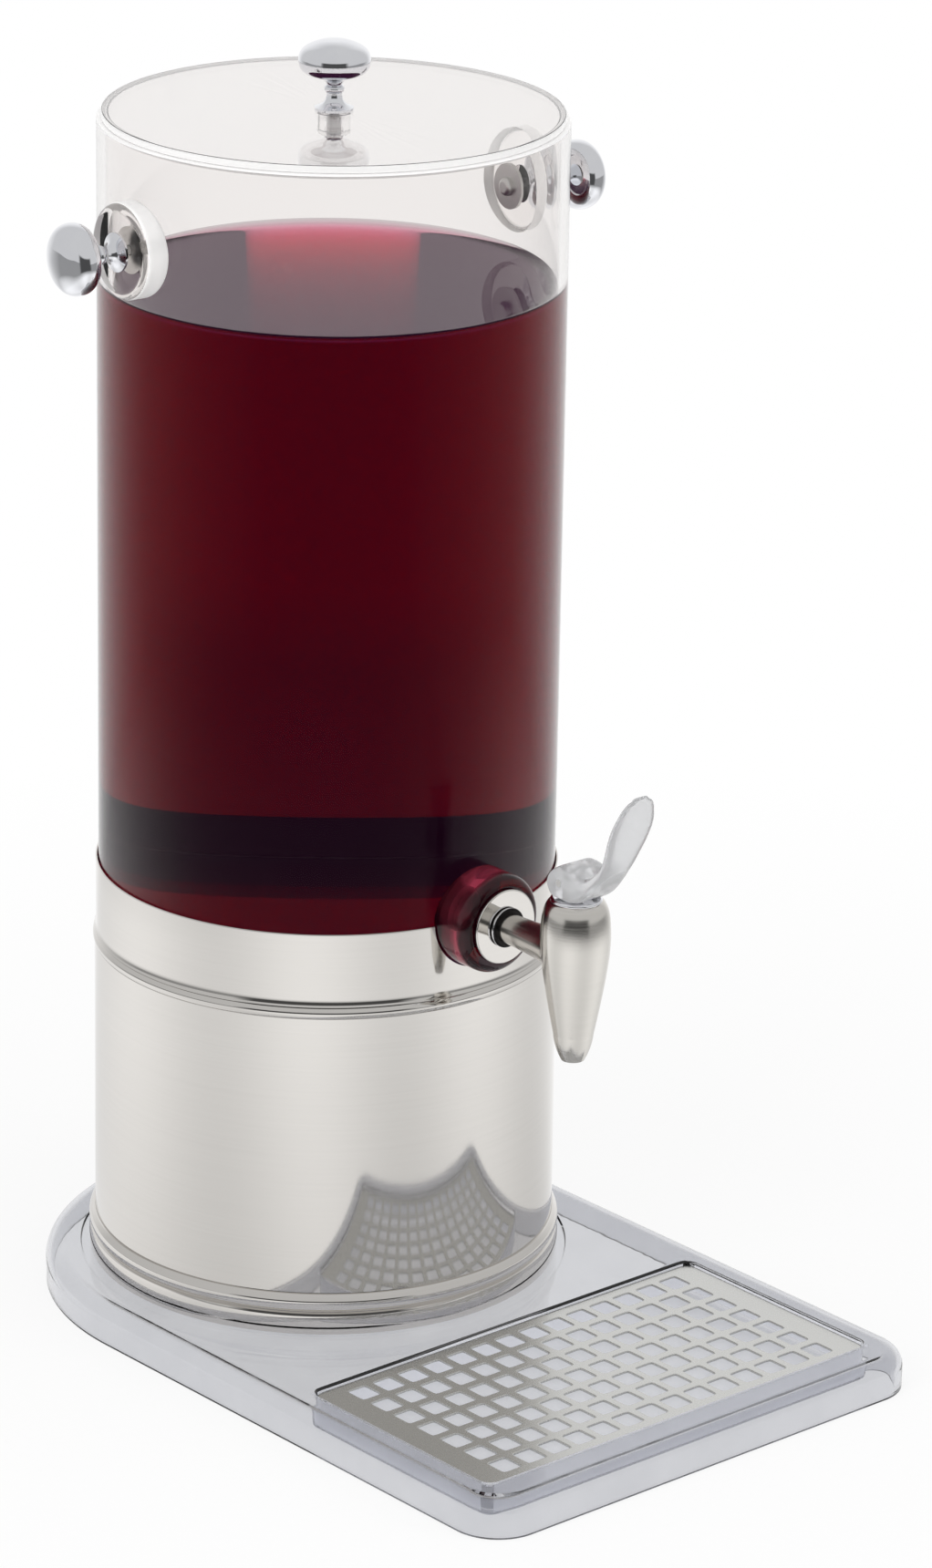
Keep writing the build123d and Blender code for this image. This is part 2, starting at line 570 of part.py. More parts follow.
lever_pin = at_tap * across * Cylinder(PIN_RADIUS, 2 * LEVER_HALF_WIDTH)


# Return spring: one unbroken wire, each quarter turn an arc through three points of the helix
def helix_point(turn, low, rise):
    """Point of the spring's centre line after a number of turns."""
    angle = 2 * pi * turn
    return (SPRING_RADIUS * cos(angle), SPRING_RADIUS * sin(angle), low + rise * turn)


spring_low = spring_seat + SPRING_WIRE + SPRING_CLEAR
spring_high = BONNET_PLUG_Z - SPRING_WIRE - SPRING_CLEAR
spring_rise = (spring_high - spring_low) / SPRING_TURNS
quarters = []
for quarter in range(4 * SPRING_TURNS):
    points = [helix_point((quarter + step) / 4, spring_low, spring_rise) for step in (0, 0.5, 1)]
    quarters.append(ThreePointArc(*points))
coil = Wire(quarters)
wire_face = Plane(origin=coil @ 0, z_dir=coil % 0) * Circle(SPRING_WIRE)
return_spring = at_tap * sweep(wire_face, path=coil)
print(f"return_spring: gap between turns {spring_rise - 2 * SPRING_WIRE:.2f} mm")

# Lever: a forked hub whose underside is a cam, and a paddle that rises in front of it
cam_rate = STEM_LIFT / PULL


def cam_point(angle):
    """Point of the cam that meets the bonnet after a pull. Its tangent lies at CAM_BASE plus the lift."""
    reach = CAM_BASE + cam_rate * angle
    return (
        -reach * sin(angle) - cam_rate * cos(angle),
        PIN_Z - reach * cos(angle) + cam_rate * sin(angle),
    )


def lever_point(point, thickness=0.0):
    """Place of a lever point in the YZ plane, moved back from the front by a thickness."""
    forward, up = point
    return (thickness - forward, PIN_Z + up)


heel = (HUB_HEEL, PIN_Z - CAM_BASE)
hub_top = (0, PIN_Z + HUB_RADIUS)
tip_back = lever_point(PADDLE_TIP, PADDLE_TIP_THICKNESS)
tip_front = lever_point(PADDLE_TIP)
side_profile = Curve() + [
    ThreePointArc(heel, (HUB_RADIUS, PIN_Z), hub_top),
    Spline(
        hub_top,
        lever_point(HUB_NECK),
        lever_point(PADDLE_MIDDLE, PADDLE_THICKNESS),
        tip_back,
        tangents=((-1, 0), (-0.3, 1)),
    ),
    Line(tip_back, tip_front),
    Spline(
        tip_front,
        lever_point(PADDLE_MIDDLE),
        lever_point(PADDLE_FOOT),
        cam_point(PULL),
        tangents=((0.3, -1), (1, -0.9)),
    ),
    ThreePointArc(cam_point(PULL), cam_point(PULL / 2), cam_point(0)),
    Line(cam_point(0), heel),
]
lever = extrude(Plane.YZ * make_face(side_profile), 2 * PADDLE_WIDEST[0], both=True)
tip_z = PIN_Z + PADDLE_TIP[1]
hub_foot_z = BONNET_TOP_Z
right_side = [(LEVER_HALF_WIDTH, HUB_SIDES_Z), PADDLE_ROOT, PADDLE_WIDEST]
left_side = [(-half, height) for half, height in reversed(right_side)]
front_plan = Curve() + [
    Line((-LEVER_HALF_WIDTH, hub_foot_z), (LEVER_HALF_WIDTH, hub_foot_z)),
    Line((LEVER_HALF_WIDTH, hub_foot_z), right_side[0]),
    Spline(*right_side, (0, tip_z), *left_side, tangents=((0, 1), (0, -1))),
    Line(left_side[-1], (-LEVER_HALF_WIDTH, hub_foot_z)),
]
lever &= extrude(Plane.XZ * make_face(front_plan), 2 * PADDLE_TIP[0], both=True)
fork_top = STEM_TOP_Z + FORK_ROOM
lever -= Pos(0, 0, (hub_foot_z + fork_top) / 2) * Box(2 * FORK_HALF, 4 * STEM_RADIUS, fork_top - hub_foot_z)
swing_top = PIN_Z - FORK_ROOF
swing_height = swing_top - hub_foot_z
lever -= Pos(0, -FORK_FRONT / 2, swing_top - swing_height / 2) * Box(2 * FORK_HALF, FORK_FRONT, swing_height)
lever -= across * Cylinder(PIN_RADIUS + RUNNING_GAP, 4 * LEVER_HALF_WIDTH)
tap_lever = at_tap * lever

os.makedirs("parts", exist_ok=True)
save("base_tray", tray)
save("drip_tub", drip_tub)
save("drip_grid", drip_grid)
save("drum_shell", drum_shell)
save("drum_floor", drum_floor)
save("plinth_ring", plinth_ring)
save("drum_nuts", drum_nuts)
save("base_screws", base_screws)
save("collar_ring", collar_ring)
save("seat_gasket", seat_gasket)
save("cold_pack", cold_pack)
save("pack_plug", pack_plug)
save("container_tube", tube)
save("container_floor", container_floor)
for name in ("left", "right"):
    save(f"handle_boss_{name}", handle_bosses[name])
    save(f"handle_knob_{name}", handle_knobs[name])
save("handle_washers", handle_washers)
save("handle_screws", handle_screws)
save("lid_disc", lid_disc)
save("lid_centring_disc", lid_centring_disc)
save("lid_spacer", lid_spacer)
save("lid_screw", lid_screw)
save("lid_knob", lid_knob)
save("tap_boss", tap_boss)
save("tap_shank", tap_shank)
save("tap_outer_seal", tap_outer_seal)
save("tap_flange", tap_flange)
save("tap_ferrule", tap_ferrule)
save("tap_inner_seal", tap_inner_seal)
save("tap_nut", tap_nut)
save("tap_body", tap_body)
save("spout_tip", spout_tip)
save("tap_bonnet", tap_bonnet)
save("bonnet_oring", bonnet_oring)
save("valve_stem", valve_stem)
save("seat_cup", seat_cup)
save("lever_pin", lever_pin)
save("return_spring", return_spring)
save("tap_lever", tap_lever)
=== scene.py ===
# %% [markdown]
# # Juice dispenser
# A clear container of juice with a lever tap stands in a mirror-polished drum on a clear drip tray. The
# turned and cast metal pieces keep their CAD shapes and get their finishes here. The clear pieces, the thin
# sheet and the lever are drawn again as fine surfaces, because light that goes through a clear wall or
# glances off a mirror shows every facet and every edge that is too sharp. The spring is drawn again as a
# mesh of its own that rides on neither body.

# %% Load the frame
import json

import bmesh
import bpy
import numpy as np
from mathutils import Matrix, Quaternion, Vector

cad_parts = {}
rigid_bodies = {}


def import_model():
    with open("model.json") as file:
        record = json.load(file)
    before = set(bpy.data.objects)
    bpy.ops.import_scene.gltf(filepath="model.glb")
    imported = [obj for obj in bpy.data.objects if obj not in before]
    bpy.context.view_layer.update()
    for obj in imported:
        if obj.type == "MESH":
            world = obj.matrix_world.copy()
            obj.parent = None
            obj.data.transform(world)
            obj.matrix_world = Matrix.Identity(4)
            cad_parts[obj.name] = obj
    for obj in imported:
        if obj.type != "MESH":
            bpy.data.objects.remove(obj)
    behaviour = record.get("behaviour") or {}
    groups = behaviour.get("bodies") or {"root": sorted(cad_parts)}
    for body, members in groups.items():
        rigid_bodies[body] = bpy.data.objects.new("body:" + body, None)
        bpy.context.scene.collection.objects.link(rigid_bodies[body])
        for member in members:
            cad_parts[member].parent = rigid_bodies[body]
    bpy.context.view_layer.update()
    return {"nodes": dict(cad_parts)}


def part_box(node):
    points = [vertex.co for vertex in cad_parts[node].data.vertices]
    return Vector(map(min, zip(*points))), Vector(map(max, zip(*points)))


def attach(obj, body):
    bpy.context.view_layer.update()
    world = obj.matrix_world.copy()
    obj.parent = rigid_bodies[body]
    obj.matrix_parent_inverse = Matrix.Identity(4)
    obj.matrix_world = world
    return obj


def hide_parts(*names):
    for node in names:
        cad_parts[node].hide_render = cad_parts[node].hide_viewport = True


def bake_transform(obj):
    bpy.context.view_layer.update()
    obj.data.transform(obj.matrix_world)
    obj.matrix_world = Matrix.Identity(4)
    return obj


for leftover in list(bpy.data.objects):
    bpy.data.objects.remove(leftover)
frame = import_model()
MM = 0.001

# %% [markdown]
# ## Sizes
# Every size of a new piece starts from the box round its CAD node, so that the drawn pieces stay where the
# solids are. Lengths are in millimetres until a mesh is made.


# %% Sizes from the frame
def node_box(node):
    """The lowest and the highest corner of a CAD node, in millimetres."""
    low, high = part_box(node)
    return np.array(low) / MM, np.array(high) / MM


tray_low, tray_high = node_box("base_tray")
tub_low, tub_high = node_box("drip_tub")
drum_low, drum_high = node_box("drum_shell")
tube_low, tube_high = node_box("container_tube")
AXIS_Y = (drum_low[1] + drum_high[1]) / 2
TUBE_RADIUS = tube_high[0]
TUBE_WALL = 4.0
TUBE_BORE = TUBE_RADIUS - TUBE_WALL
AIR = 0.05  # gap where a clear piece rests on another one, because no light path likes two faces in one place
print(f"drum axis at y {AXIS_Y:.1f}, tube radius {TUBE_RADIUS:.1f}, tray {tray_high - tray_low} mm")

# %% [markdown]
# ## Camera
# The photograph was taken from the front left with a long lens, from well above the lid, and the camera
# leaned by one degree. The place comes from the round edges of the drum, the lid and the juice, which show
# as ellipses.

# %% Camera
CAMERA_TURN = np.radians(-40.08)  # seen from the drum's axis, from the front towards the left
CAMERA_REACH = 2.6  # metres from the drum's axis, along the floor
CAMERA_HEIGHT = 1.165
LOOK_TURN = np.radians(-41.41)
LOOK_DOWN = np.radians(19.71)
LEAN = np.radians(0.997)
LENS = 145.25
SENSOR = 36

camera_data = bpy.data.cameras.new("photo_camera")
camera_data.lens = LENS
camera_data.sensor_width = SENSOR
camera = bpy.data.objects.new("photo_camera", camera_data)
bpy.context.scene.collection.objects.link(camera)
camera.location = (
    CAMERA_REACH * np.sin(CAMERA_TURN),
    AXIS_Y * MM - CAMERA_REACH * np.cos(CAMERA_TURN),
    CAMERA_HEIGHT,
)
look = Vector((
    -np.sin(LOOK_TURN) * np.cos(LOOK_DOWN),
    np.cos(LOOK_TURN) * np.cos(LOOK_DOWN),
    -np.sin(LOOK_DOWN),
))
camera.rotation_mode = "QUATERNION"
camera.rotation_quaternion = look.to_track_quat("-Z", "Y") @ Quaternion((0, 0, 1), LEAN)
bpy.context.scene.camera = camera
bpy.context.scene.view_settings.view_transform = "Standard"
print("camera at", camera.location.to_tuple(3), "looking along", look.to_tuple(3))

# %% [markdown]
# ## Node and colour helpers
# Colours are written as sRGB hex, the way a colour picker shows them, and a shader needs them linear. One
# helper adds a shader node with its settings, values and links, so that a finish reads like a recipe.

# %% Node and colour helpers
WHITE = (1, 1, 1, 1)
BLACK = (0, 0, 0, 1)


def hex_colour(code):
    """Linear RGBA from sRGB hex: c / 12.92 below 0.04045, else ((c + 0.055) / 1.055) to the power 2.4."""
    value = np.array([int(code[i : i + 2], 16) for i in (1, 3, 5)]) / 255
    linear = np.where(value <= 0.04045, value / 12.92, ((value + 0.055) / 1.055) ** 2.4)
    return (*linear.tolist(), 1.0)


def add_node(tree, kind, inputs=None, **settings):
    """Add one shader node, set its properties, and fill each named input with a value or a link."""
    node = tree.nodes.new(kind)
    for name, value in settings.items():
        setattr(node, name, value)
    for name, value in (inputs or {}).items():
        if isinstance(value, bpy.types.NodeSocket):
            tree.links.new(value, node.inputs[name])
        else:
            node.inputs[name].default_value = value
    return node


def per_mm(size):
    """Pattern scale for features of a size in millimetres, in coordinates that are metres."""
    return 1 / (size * MM)


def new_finish(name):
    """An empty material: its node tree, its output and the Object coordinates that its patterns use."""
    finish = bpy.data.materials.new(name)
    finish.use_nodes = True
    tree = finish.node_tree
    tree.nodes.clear()
    output = add_node(tree, "ShaderNodeOutputMaterial")
    place = add_node(tree, "ShaderNodeTexCoord").outputs["Object"]
    return finish, tree, output, place


print("red", [round(value, 3) for value in hex_colour("#c00020")])

# %% [markdown]
# ## Studio
# The object stands on white paper in a white tent. The tent is brightest behind and open at the camera, and
# the paper fades out from 0.6 to 1.2 metres away. That is why the front of the container shows deep colour
# with no white veil, while its edges and the drum, which mirror the paper, are pale, and why the rounded
# metal has one soft dark window. The far paper and the world both need the tent's level, so it is a
# function.

# %% Tent
ROOM = 0.08  # what the dark room outside the opening gives back
CLOTH = 0.68  # what the tent's sides and roof give back
BACK_POWER = 1.5
# How far a direction points to the back where the bright back begins and is full, and the same for the
# opening towards the camera
BRIGHT_BACK = {"From Min": -0.5, "From Max": 0.9}
OPENING = {"From Min": 0.7, "From Max": 0.82, "To Max": ROOM}
toward_back = Vector((-np.sin(CAMERA_TURN), np.cos(CAMERA_TURN), 0))


def tent_level(tree, direction, side_level):
    """How bright the tent is in a direction along the floor.

    It is ((d + 0.5) / 1.4) to the power 1.5, where d is 1 straight behind the object and -1 towards the
    camera, but at least the level of its sides, or the room in the opening.
    """
    behind = add_node(tree, "ShaderNodeVectorMath", {0: direction, 1: toward_back}, operation="DOT_PRODUCT")
    ramp = add_node(tree, "ShaderNodeMapRange", {"Value": behind.outputs["Value"], **BRIGHT_BACK})
    back = add_node(tree, "ShaderNodeMath", {0: ramp.outputs[0], 1: BACK_POWER}, operation="POWER")
    ahead = add_node(tree, "ShaderNodeVectorMath", {0: direction, 1: -toward_back}, operation="DOT_PRODUCT")
    side = add_node(tree, "ShaderNodeMapRange", {
        "Value": ahead.outputs["Value"], "To Min": side_level, **OPENING})
    level = add_node(tree, "ShaderNodeMath", {0: back.outputs[0], 1: side.outputs[0]}, operation="MAXIMUM")
    return level.outputs[0]


print("the tent opens towards", (-toward_back).to_tuple(2))

# %% [markdown]
# Metal mirrors the paper with four soft pools of painted light on it, and a painted shade that leaves a
# little less light near the object's foot. The pools are a wave in the direction from the origin:
# 1.05 + 0.12 cos(4 (a + t)).

# %% Paper as the metal mirrors it
POOLS = 4
POOL_TURN = np.radians(143)  # where the first pool lies
POOL_SWING = 0.12
POOL_MEAN = 1.05
FAR_PAPER = 0.34  # what the paper at the sides gives back, beyond the even part
# Levels by the distance from the origin, in metres
PAINTED_FOOT_SHADE = {"From Min": 0.15, "From Max": 0.45, "To Min": 0.88, "To Max": 1.0}
PAPER_FADE = {"From Min": 0.6, "From Max": 1.2, "To Min": 1.0, "To Max": 0.0}

floor_finish, tree, output, place = new_finish("white_paper_sweep")
rays = add_node(tree, "ShaderNodeLightPath").outputs
far = add_node(tree, "ShaderNodeVectorMath", {0: place}, operation="LENGTH").outputs["Value"]
outward = add_node(tree, "ShaderNodeVectorMath", {0: place}, operation="NORMALIZE").outputs[0]
sides = add_node(tree, "ShaderNodeSeparateXYZ", {0: outward}).outputs
# Painted light: four soft pools in the paper's glow, which only mirrors show
sector = add_node(tree, "ShaderNodeMath", {0: sides["Y"], 1: sides["X"]}, operation="ARCTAN2")
swing = add_node(tree, "ShaderNodeMath", {0: sector.outputs[0], 1: POOLS, 2: POOLS * POOL_TURN},
                 operation="MULTIPLY_ADD")
wave = add_node(tree, "ShaderNodeMath", {0: swing.outputs[0]}, operation="COSINE")
pools = add_node(tree, "ShaderNodeMath", {0: wave.outputs[0], 1: POOL_SWING, 2: POOL_MEAN},
                 operation="MULTIPLY_ADD")
# Painted shade: the paper's glow is dimmed near the object's foot
foot = add_node(tree, "ShaderNodeMapRange", {"Value": far, **PAINTED_FOOT_SHADE})
painted_light = add_node(tree, "ShaderNodeMath", {0: pools.outputs[0], 1: foot.outputs[0]}, operation="MULTIPLY")
near = add_node(tree, "ShaderNodeMapRange", {"Value": far, **PAPER_FADE})
even = add_node(tree, "ShaderNodeMath", {0: near.outputs[0], 1: painted_light.outputs[0]}, operation="MULTIPLY")
distant = tent_level(tree, outward, FAR_PAPER)
paper = add_node(tree, "ShaderNodeMath", {0: even.outputs[0], 1: distant}, operation="MAXIMUM")
print("even paper to", PAPER_FADE["From Min"], "m")

# %% [markdown]
# The camera sees plain white paper. Straight behind the object the paper's glow is dimmed by a painted half
# shade, which only light that comes through the clear pieces shows, and which makes the middle of the juice
# deeper. All other light falls on plain matt paper, and near the object a part of that shows too, so that the
# floor keeps a soft shadow.

# %% Paper as the camera and the clear pieces see it
# The painted half shade by how straight behind the object the paper lies, and where it starts and ends, in
# metres
SHADE = {"From Min": 0.89, "From Max": 0.985, "To Min": 0.0, "To Max": 0.3}
SHADE_START = {"From Min": 0.3, "From Max": 0.45}
SHADE_END = {"From Min": 0.95, "From Max": 1.1, "To Min": 1.0, "To Max": 0.0}
OWN_LIGHT = {"From Min": 0.25, "From Max": 0.75, "To Min": 0.86, "To Max": 1.0}  # the share without a shadow
FIBRE = 4

# Painted shade: the paper's glow is dimmed straight behind the object
behind = add_node(tree, "ShaderNodeVectorMath", {0: outward, 1: toward_back}, operation="DOT_PRODUCT")
shade = add_node(tree, "ShaderNodeMapRange", {"Value": behind.outputs["Value"], **SHADE})
shade_start = add_node(tree, "ShaderNodeMapRange", {"Value": far, **SHADE_START})
shade_end = add_node(tree, "ShaderNodeMapRange", {"Value": far, **SHADE_END})
stretch = add_node(tree, "ShaderNodeMath", {0: shade_start.outputs[0], 1: shade_end.outputs[0]},
                   operation="MINIMUM")
shaded = add_node(tree, "ShaderNodeMath", {0: shade.outputs[0], 1: stretch.outputs[0]}, operation="MULTIPLY")
beyond = add_node(tree, "ShaderNodeMath", {0: 1.0, 1: shaded.outputs[0]}, operation="SUBTRACT")
direct = add_node(tree, "ShaderNodeMix", {"Factor": rays["Is Camera Ray"], "A": paper.outputs[0], "B": 1.0})
level = add_node(tree, "ShaderNodeMix", {
    "Factor": rays["Is Transmission Ray"], "A": direct.outputs[0], "B": beyond.outputs[0]})
seen = add_node(tree, "ShaderNodeMath", {0: rays["Is Camera Ray"], 1: rays["Is Transmission Ray"]},
                operation="MAXIMUM")
any_view = add_node(tree, "ShaderNodeMath", {0: seen.outputs[0], 1: rays["Is Glossy Ray"]},
                    operation="MAXIMUM")
own = add_node(tree, "ShaderNodeMapRange", {"Value": far, **OWN_LIGHT})
share = add_node(tree, "ShaderNodeMath", {0: own.outputs[0], 1: any_view.outputs[0]}, operation="MULTIPLY")
fibres = add_node(tree, "ShaderNodeTexNoise", {"Vector": place, "Scale": per_mm(FIBRE), "Detail": 3.0})
paper_white = add_node(tree, "ShaderNodeValToRGB", {"Fac": fibres.outputs["Fac"]})
paper_white.color_ramp.elements[0].color = hex_colour("#ebebeb")
paper_white.color_ramp.elements[1].color = hex_colour("#f4f4f4")
matt = add_node(tree, "ShaderNodeBsdfDiffuse", {"Color": paper_white.outputs["Color"]})
glow = add_node(tree, "ShaderNodeEmission", {"Color": WHITE, "Strength": level.outputs[0]})
both = add_node(tree, "ShaderNodeMixShader", {0: share.outputs[0], 1: matt.outputs[0], 2: glow.outputs[0]})
tree.links.new(both.outputs[0], output.inputs["Surface"])
print(len(tree.nodes), "nodes in", floor_finish.name)

# %% [markdown]
# The floor is one square, just below the tray's foot. Beyond its edge the world stands for the tent: metal
# mirrors the cloth, the bright back and the opening, matt surfaces get an even light, and the camera and
# the clear pieces see white.

# %% Floor and world
FLOOR_HALF = 6.0
FLOOR_DROP = 0.0002
EVEN_LIGHT = 0.55
# By how steeply a direction rises: the roof, over the opening too, and the tent as the clear pieces see it
ROOF = {"From Min": 0.14, "From Max": 0.24, "To Min": 0.0, "To Max": CLOTH}
UPWARD = {"From Min": 0.02, "From Max": 0.2, "To Min": 1.0, "To Max": 0.8}

floor_mesh = bpy.data.meshes.new("studio_floor")
corners = np.array([[-1, -1, 0], [1, -1, 0], [1, 1, 0], [-1, 1, 0]]) * FLOOR_HALF - [0, 0, FLOOR_DROP]
floor_mesh.from_pydata(corners, [], [[0, 1, 2, 3]])
floor_mesh.materials.append(floor_finish)
studio_floor = bpy.data.objects.new("studio_floor", floor_mesh)
bpy.context.scene.collection.objects.link(studio_floor)

world = bpy.data.worlds.new("studio")
bpy.context.scene.world = world
world.use_nodes = True
tree = world.node_tree
tree.nodes.clear()
rays = add_node(tree, "ShaderNodeLightPath").outputs
direction = add_node(tree, "ShaderNodeTexCoord").outputs["Generated"]
rise = add_node(tree, "ShaderNodeSeparateXYZ", {0: direction}).outputs["Z"]
roof = add_node(tree, "ShaderNodeMapRange", {"Value": rise, **ROOF})
around = tent_level(tree, direction, CLOTH)
mirrored = add_node(tree, "ShaderNodeMath", {0: around, 1: roof.outputs[0]}, operation="MAXIMUM")
level = add_node(tree, "ShaderNodeMix", {
    "Factor": rays["Is Glossy Ray"], "A": EVEN_LIGHT, "B": mirrored.outputs[0]})
seen = add_node(tree, "ShaderNodeMath", {0: rays["Is Camera Ray"], 1: rays["Is Transmission Ray"]},
                operation="MAXIMUM")
upward = add_node(tree, "ShaderNodeMapRange", {"Value": rise, **UPWARD})
through = add_node(tree, "ShaderNodeMix", {
    "Factor": rays["Is Transmission Ray"], "A": 1.0, "B": upward.outputs[0]})
final = add_node(tree, "ShaderNodeMix", {
    "Factor": seen.outputs[0], "A": level.outputs[0], "B": through.outputs[0]})
sky = add_node(tree, "ShaderNodeBackground", {"Color": WHITE, "Strength": final.outputs[0]})
add_node(tree, "ShaderNodeOutputWorld", {"Surface": sky.outputs[0]})
print("floor", 2 * FLOOR_HALF, "m square,", len(tree.nodes), "nodes in the world")

# %% [markdown]
# ## Lamps
# Three large soft boxes outside the tent: a key at the left, a fill at the right and one overhead. Their
# light comes through the cloth, so the metal mirrors the even tent and no lamp.

# %% Lamps
LAMP_AIM = (0, 0, 0.28)


def soft_box(name, place, width, height, power):
    """A rectangular lamp that points at the object and shows only in the light it gives matt surfaces."""
    lamp = bpy.data.lights.new(name, "AREA")
    lamp.shape = "RECTANGLE"
    lamp.size = width
    lamp.size_y = height
    lamp.energy = power
    stand = bpy.data.objects.new(name, lamp)
    bpy.context.scene.collection.objects.link(stand)
    stand.location = place
    stand.rotation_euler = (Vector(LAMP_AIM) - Vector(place)).to_track_quat("-Z", "Y").to_euler()
    stand.visible_camera = False
    stand.visible_transmission = False
    stand.visible_glossy = False


soft_box("key_box", (-2.3, -0.5, 1.1), width=1.2, height=1.8, power=26)
soft_box("fill_box", (1.3, -2.0, 1.0), width=0.9, height=1.6, power=14)
soft_box("top_box", (-0.2, -0.3, 2.4), width=1.6, height=1.6, power=18)
print(len(bpy.data.lights), "soft boxes")

# %% [markdown]
# ## Clear plastics
# The container, its lid and its bosses are cast acrylic, polished clear: index 1.49, no haze, and a trace
# of grey from the thickness of the wall. Handling leaves hairlines, which show only as a faint softness.
# Seen through a polarising filter, upright clear walls mirror only a little, so the specular tint is a dark
# grey. Where the juice wets the wall, or two clear pieces are glued, almost nothing is mirrored, because
# the indexes nearly match. There the same acrylic has a black specular tint. The tap's boss stands before
# the juice and its round edge gathers the red light like a lens. That red light is painted into the boss's
# colour, a wine red.

# %% Clear acrylic
ACRYLIC_INDEX = 1.49
HAIRLINE = np.array([12, 12, 1.2])  # how long and how far apart the hairlines are
HAZE = {"From Min": 0.55, "From Max": 0.8, "To Min": 0.0, "To Max": 0.035}
acrylic = {}
# The tap's boss gets painted red light in its colour, where the other acrylics are clear
for kind, tint, mirror in (("clear", "#f7f5f4", 0.07), ("wet", "#fbf9f8", 0.0), ("painted_red_light", "#a03c50", 0.65)):
    acrylic[kind], tree, output, place = new_finish(f"cast_acrylic_{kind}")
    lines = add_node(tree, "ShaderNodeMapping", {"Vector": place, "Scale": per_mm(HAIRLINE).tolist()})
    noise = add_node(tree, "ShaderNodeTexNoise", {"Vector": lines.outputs[0], "Scale": 1.0, "Detail": 4.0})
    haze = add_node(tree, "ShaderNodeMapRange", {"Value": noise.outputs["Fac"], **HAZE})
    clear = add_node(tree, "ShaderNodeBsdfPrincipled", {
        "Base Color": hex_colour(tint), "Roughness": haze.outputs[0], "IOR": ACRYLIC_INDEX,
        "Transmission Weight": 1.0, "Specular Tint": (mirror, mirror, mirror, 1)})
    tree.links.new(clear.outputs[0], output.inputs["Surface"])
    print(acrylic[kind].name)

# %% [markdown]
# ## Mottled finishes
# Most other surfaces need the same few things: a noise at the scale of the real marks, a colour that the
# noise shifts a little, and where it shows, a gloss and a relief that follow the same marks. One function
# makes such a finish, and each finish is told by its own numbers.


# %% Mottled finish
def mottled_finish(name, mark, shades, surface, detail=3.0, gloss=None, relief=None):
    """A finish whose colour goes from one shade to another with a noise.

    The marks of the noise have a size in millimetres, one number or three along x, y and z. The surface gives
    the shader's even values. The gloss is two levels of the noise and the roughness at each of them. The
    relief is the strength and the height, in millimetres, of a bump from the same noise.
    """
    finish, tree, output, place = new_finish(name)
    scale = np.broadcast_to(per_mm(np.array(mark)), 3).tolist()
    marks = add_node(tree, "ShaderNodeMapping", {"Vector": place, "Scale": scale})
    noise = add_node(tree, "ShaderNodeTexNoise", {"Vector": marks.outputs[0], "Scale": 1.0, "Detail": detail})
    colour = add_node(tree, "ShaderNodeValToRGB", {"Fac": noise.outputs["Fac"]})
    for stop, shade in zip(colour.color_ramp.elements, shades):
        stop.color = hex_colour(shade)
    inputs = {"Base Color": colour.outputs["Color"], **surface}
    if gloss:
        low, high, low_rough, high_rough = gloss
        rough = add_node(tree, "ShaderNodeMapRange", {
            "Value": noise.outputs["Fac"], "From Min": low, "From Max": high,
            "To Min": low_rough, "To Max": high_rough})
        inputs["Roughness"] = rough.outputs[0]
    if relief:
        strength, height = relief
        bump = add_node(tree, "ShaderNodeBump", {
            "Height": noise.outputs["Fac"], "Strength": strength, "Distance": height * MM})
        inputs["Normal"] = bump.outputs[0]
    shader = add_node(tree, "ShaderNodeBsdfPrincipled", inputs)
    tree.links.new(shader.outputs[0], output.inputs["Surface"])
    print(finish.name)
    return finish


# %% [markdown]
# The lid's rim and the sides of the handle bosses were cut on a router, and the tube's end was sawn and
# scraped, so they are milky: light that would run round inside the clear piece for ever comes out there as
# a soft white line. To find that light by chance would take very many samples, so the cut faces glow a
# little instead.

# %% Routed acrylic edge
routed = mottled_finish("routed_acrylic_edge", 1.5, ("#f0efee", "#fbfaf9"), {
    "Roughness": 0.3, "IOR": ACRYLIC_INDEX, "Transmission Weight": 0.35,
    "Emission Color": WHITE, "Emission Strength": 0.2})

# %% [markdown]
# The tray is an injection-moulded styrene-acrylic, a little greyer and bluer than the cast tube, with the
# faint flow ripple that a moulding keeps. The walls and the floor of its tub have a fine grain, which
# spreads the light that the tray gathers, and a small glow stands for that. The tub's floor also has the
# grid's shade painted into its colour, so its shades are darker than the walls'.

# %% Moulded tray plastic
TRAY_INDEX = 1.53
TUB_GLOW = (0.93, 0.94, 1.0, 1)
tray_plastic = mottled_finish("moulded_clear_tray", 22, ("#cdced3", "#dadbdf"), {
    "Roughness": 0.02, "IOR": TRAY_INDEX, "Transmission Weight": 1.0}, detail=2.0, relief=(0.25, 0.4))
# Both tub finishes glow; the floor's darker shades are painted shade from the grid above it
tub_grain_glow_and_shade = [
    mottled_finish(f"textured_tub_{part}", 0.8, shades, {
        "Roughness": 0.35, "IOR": TRAY_INDEX, "Transmission Weight": 0.5,
        "Emission Color": TUB_GLOW, "Emission Strength": glow_level})
    for part, shades, glow_level in (
        ("wall", ("#cfd1d8", "#e0e1e6"), 0.3), ("floor", ("#b4b5b8", "#c4c5c7"), 0.22))
]

# %% [markdown]
# ## Metals
# The drum and its beads are stainless sheet, polished to a mirror after forming. Rolling leaves the sheet
# very slightly wavy, and the polishing mop leaves fine lines round the drum. The lines are drawn coarser
# than the real ones, at about a millimetre, so that they show at all. The relief here is the slow wave and
# not the lines, so this finish has a recipe of its own.

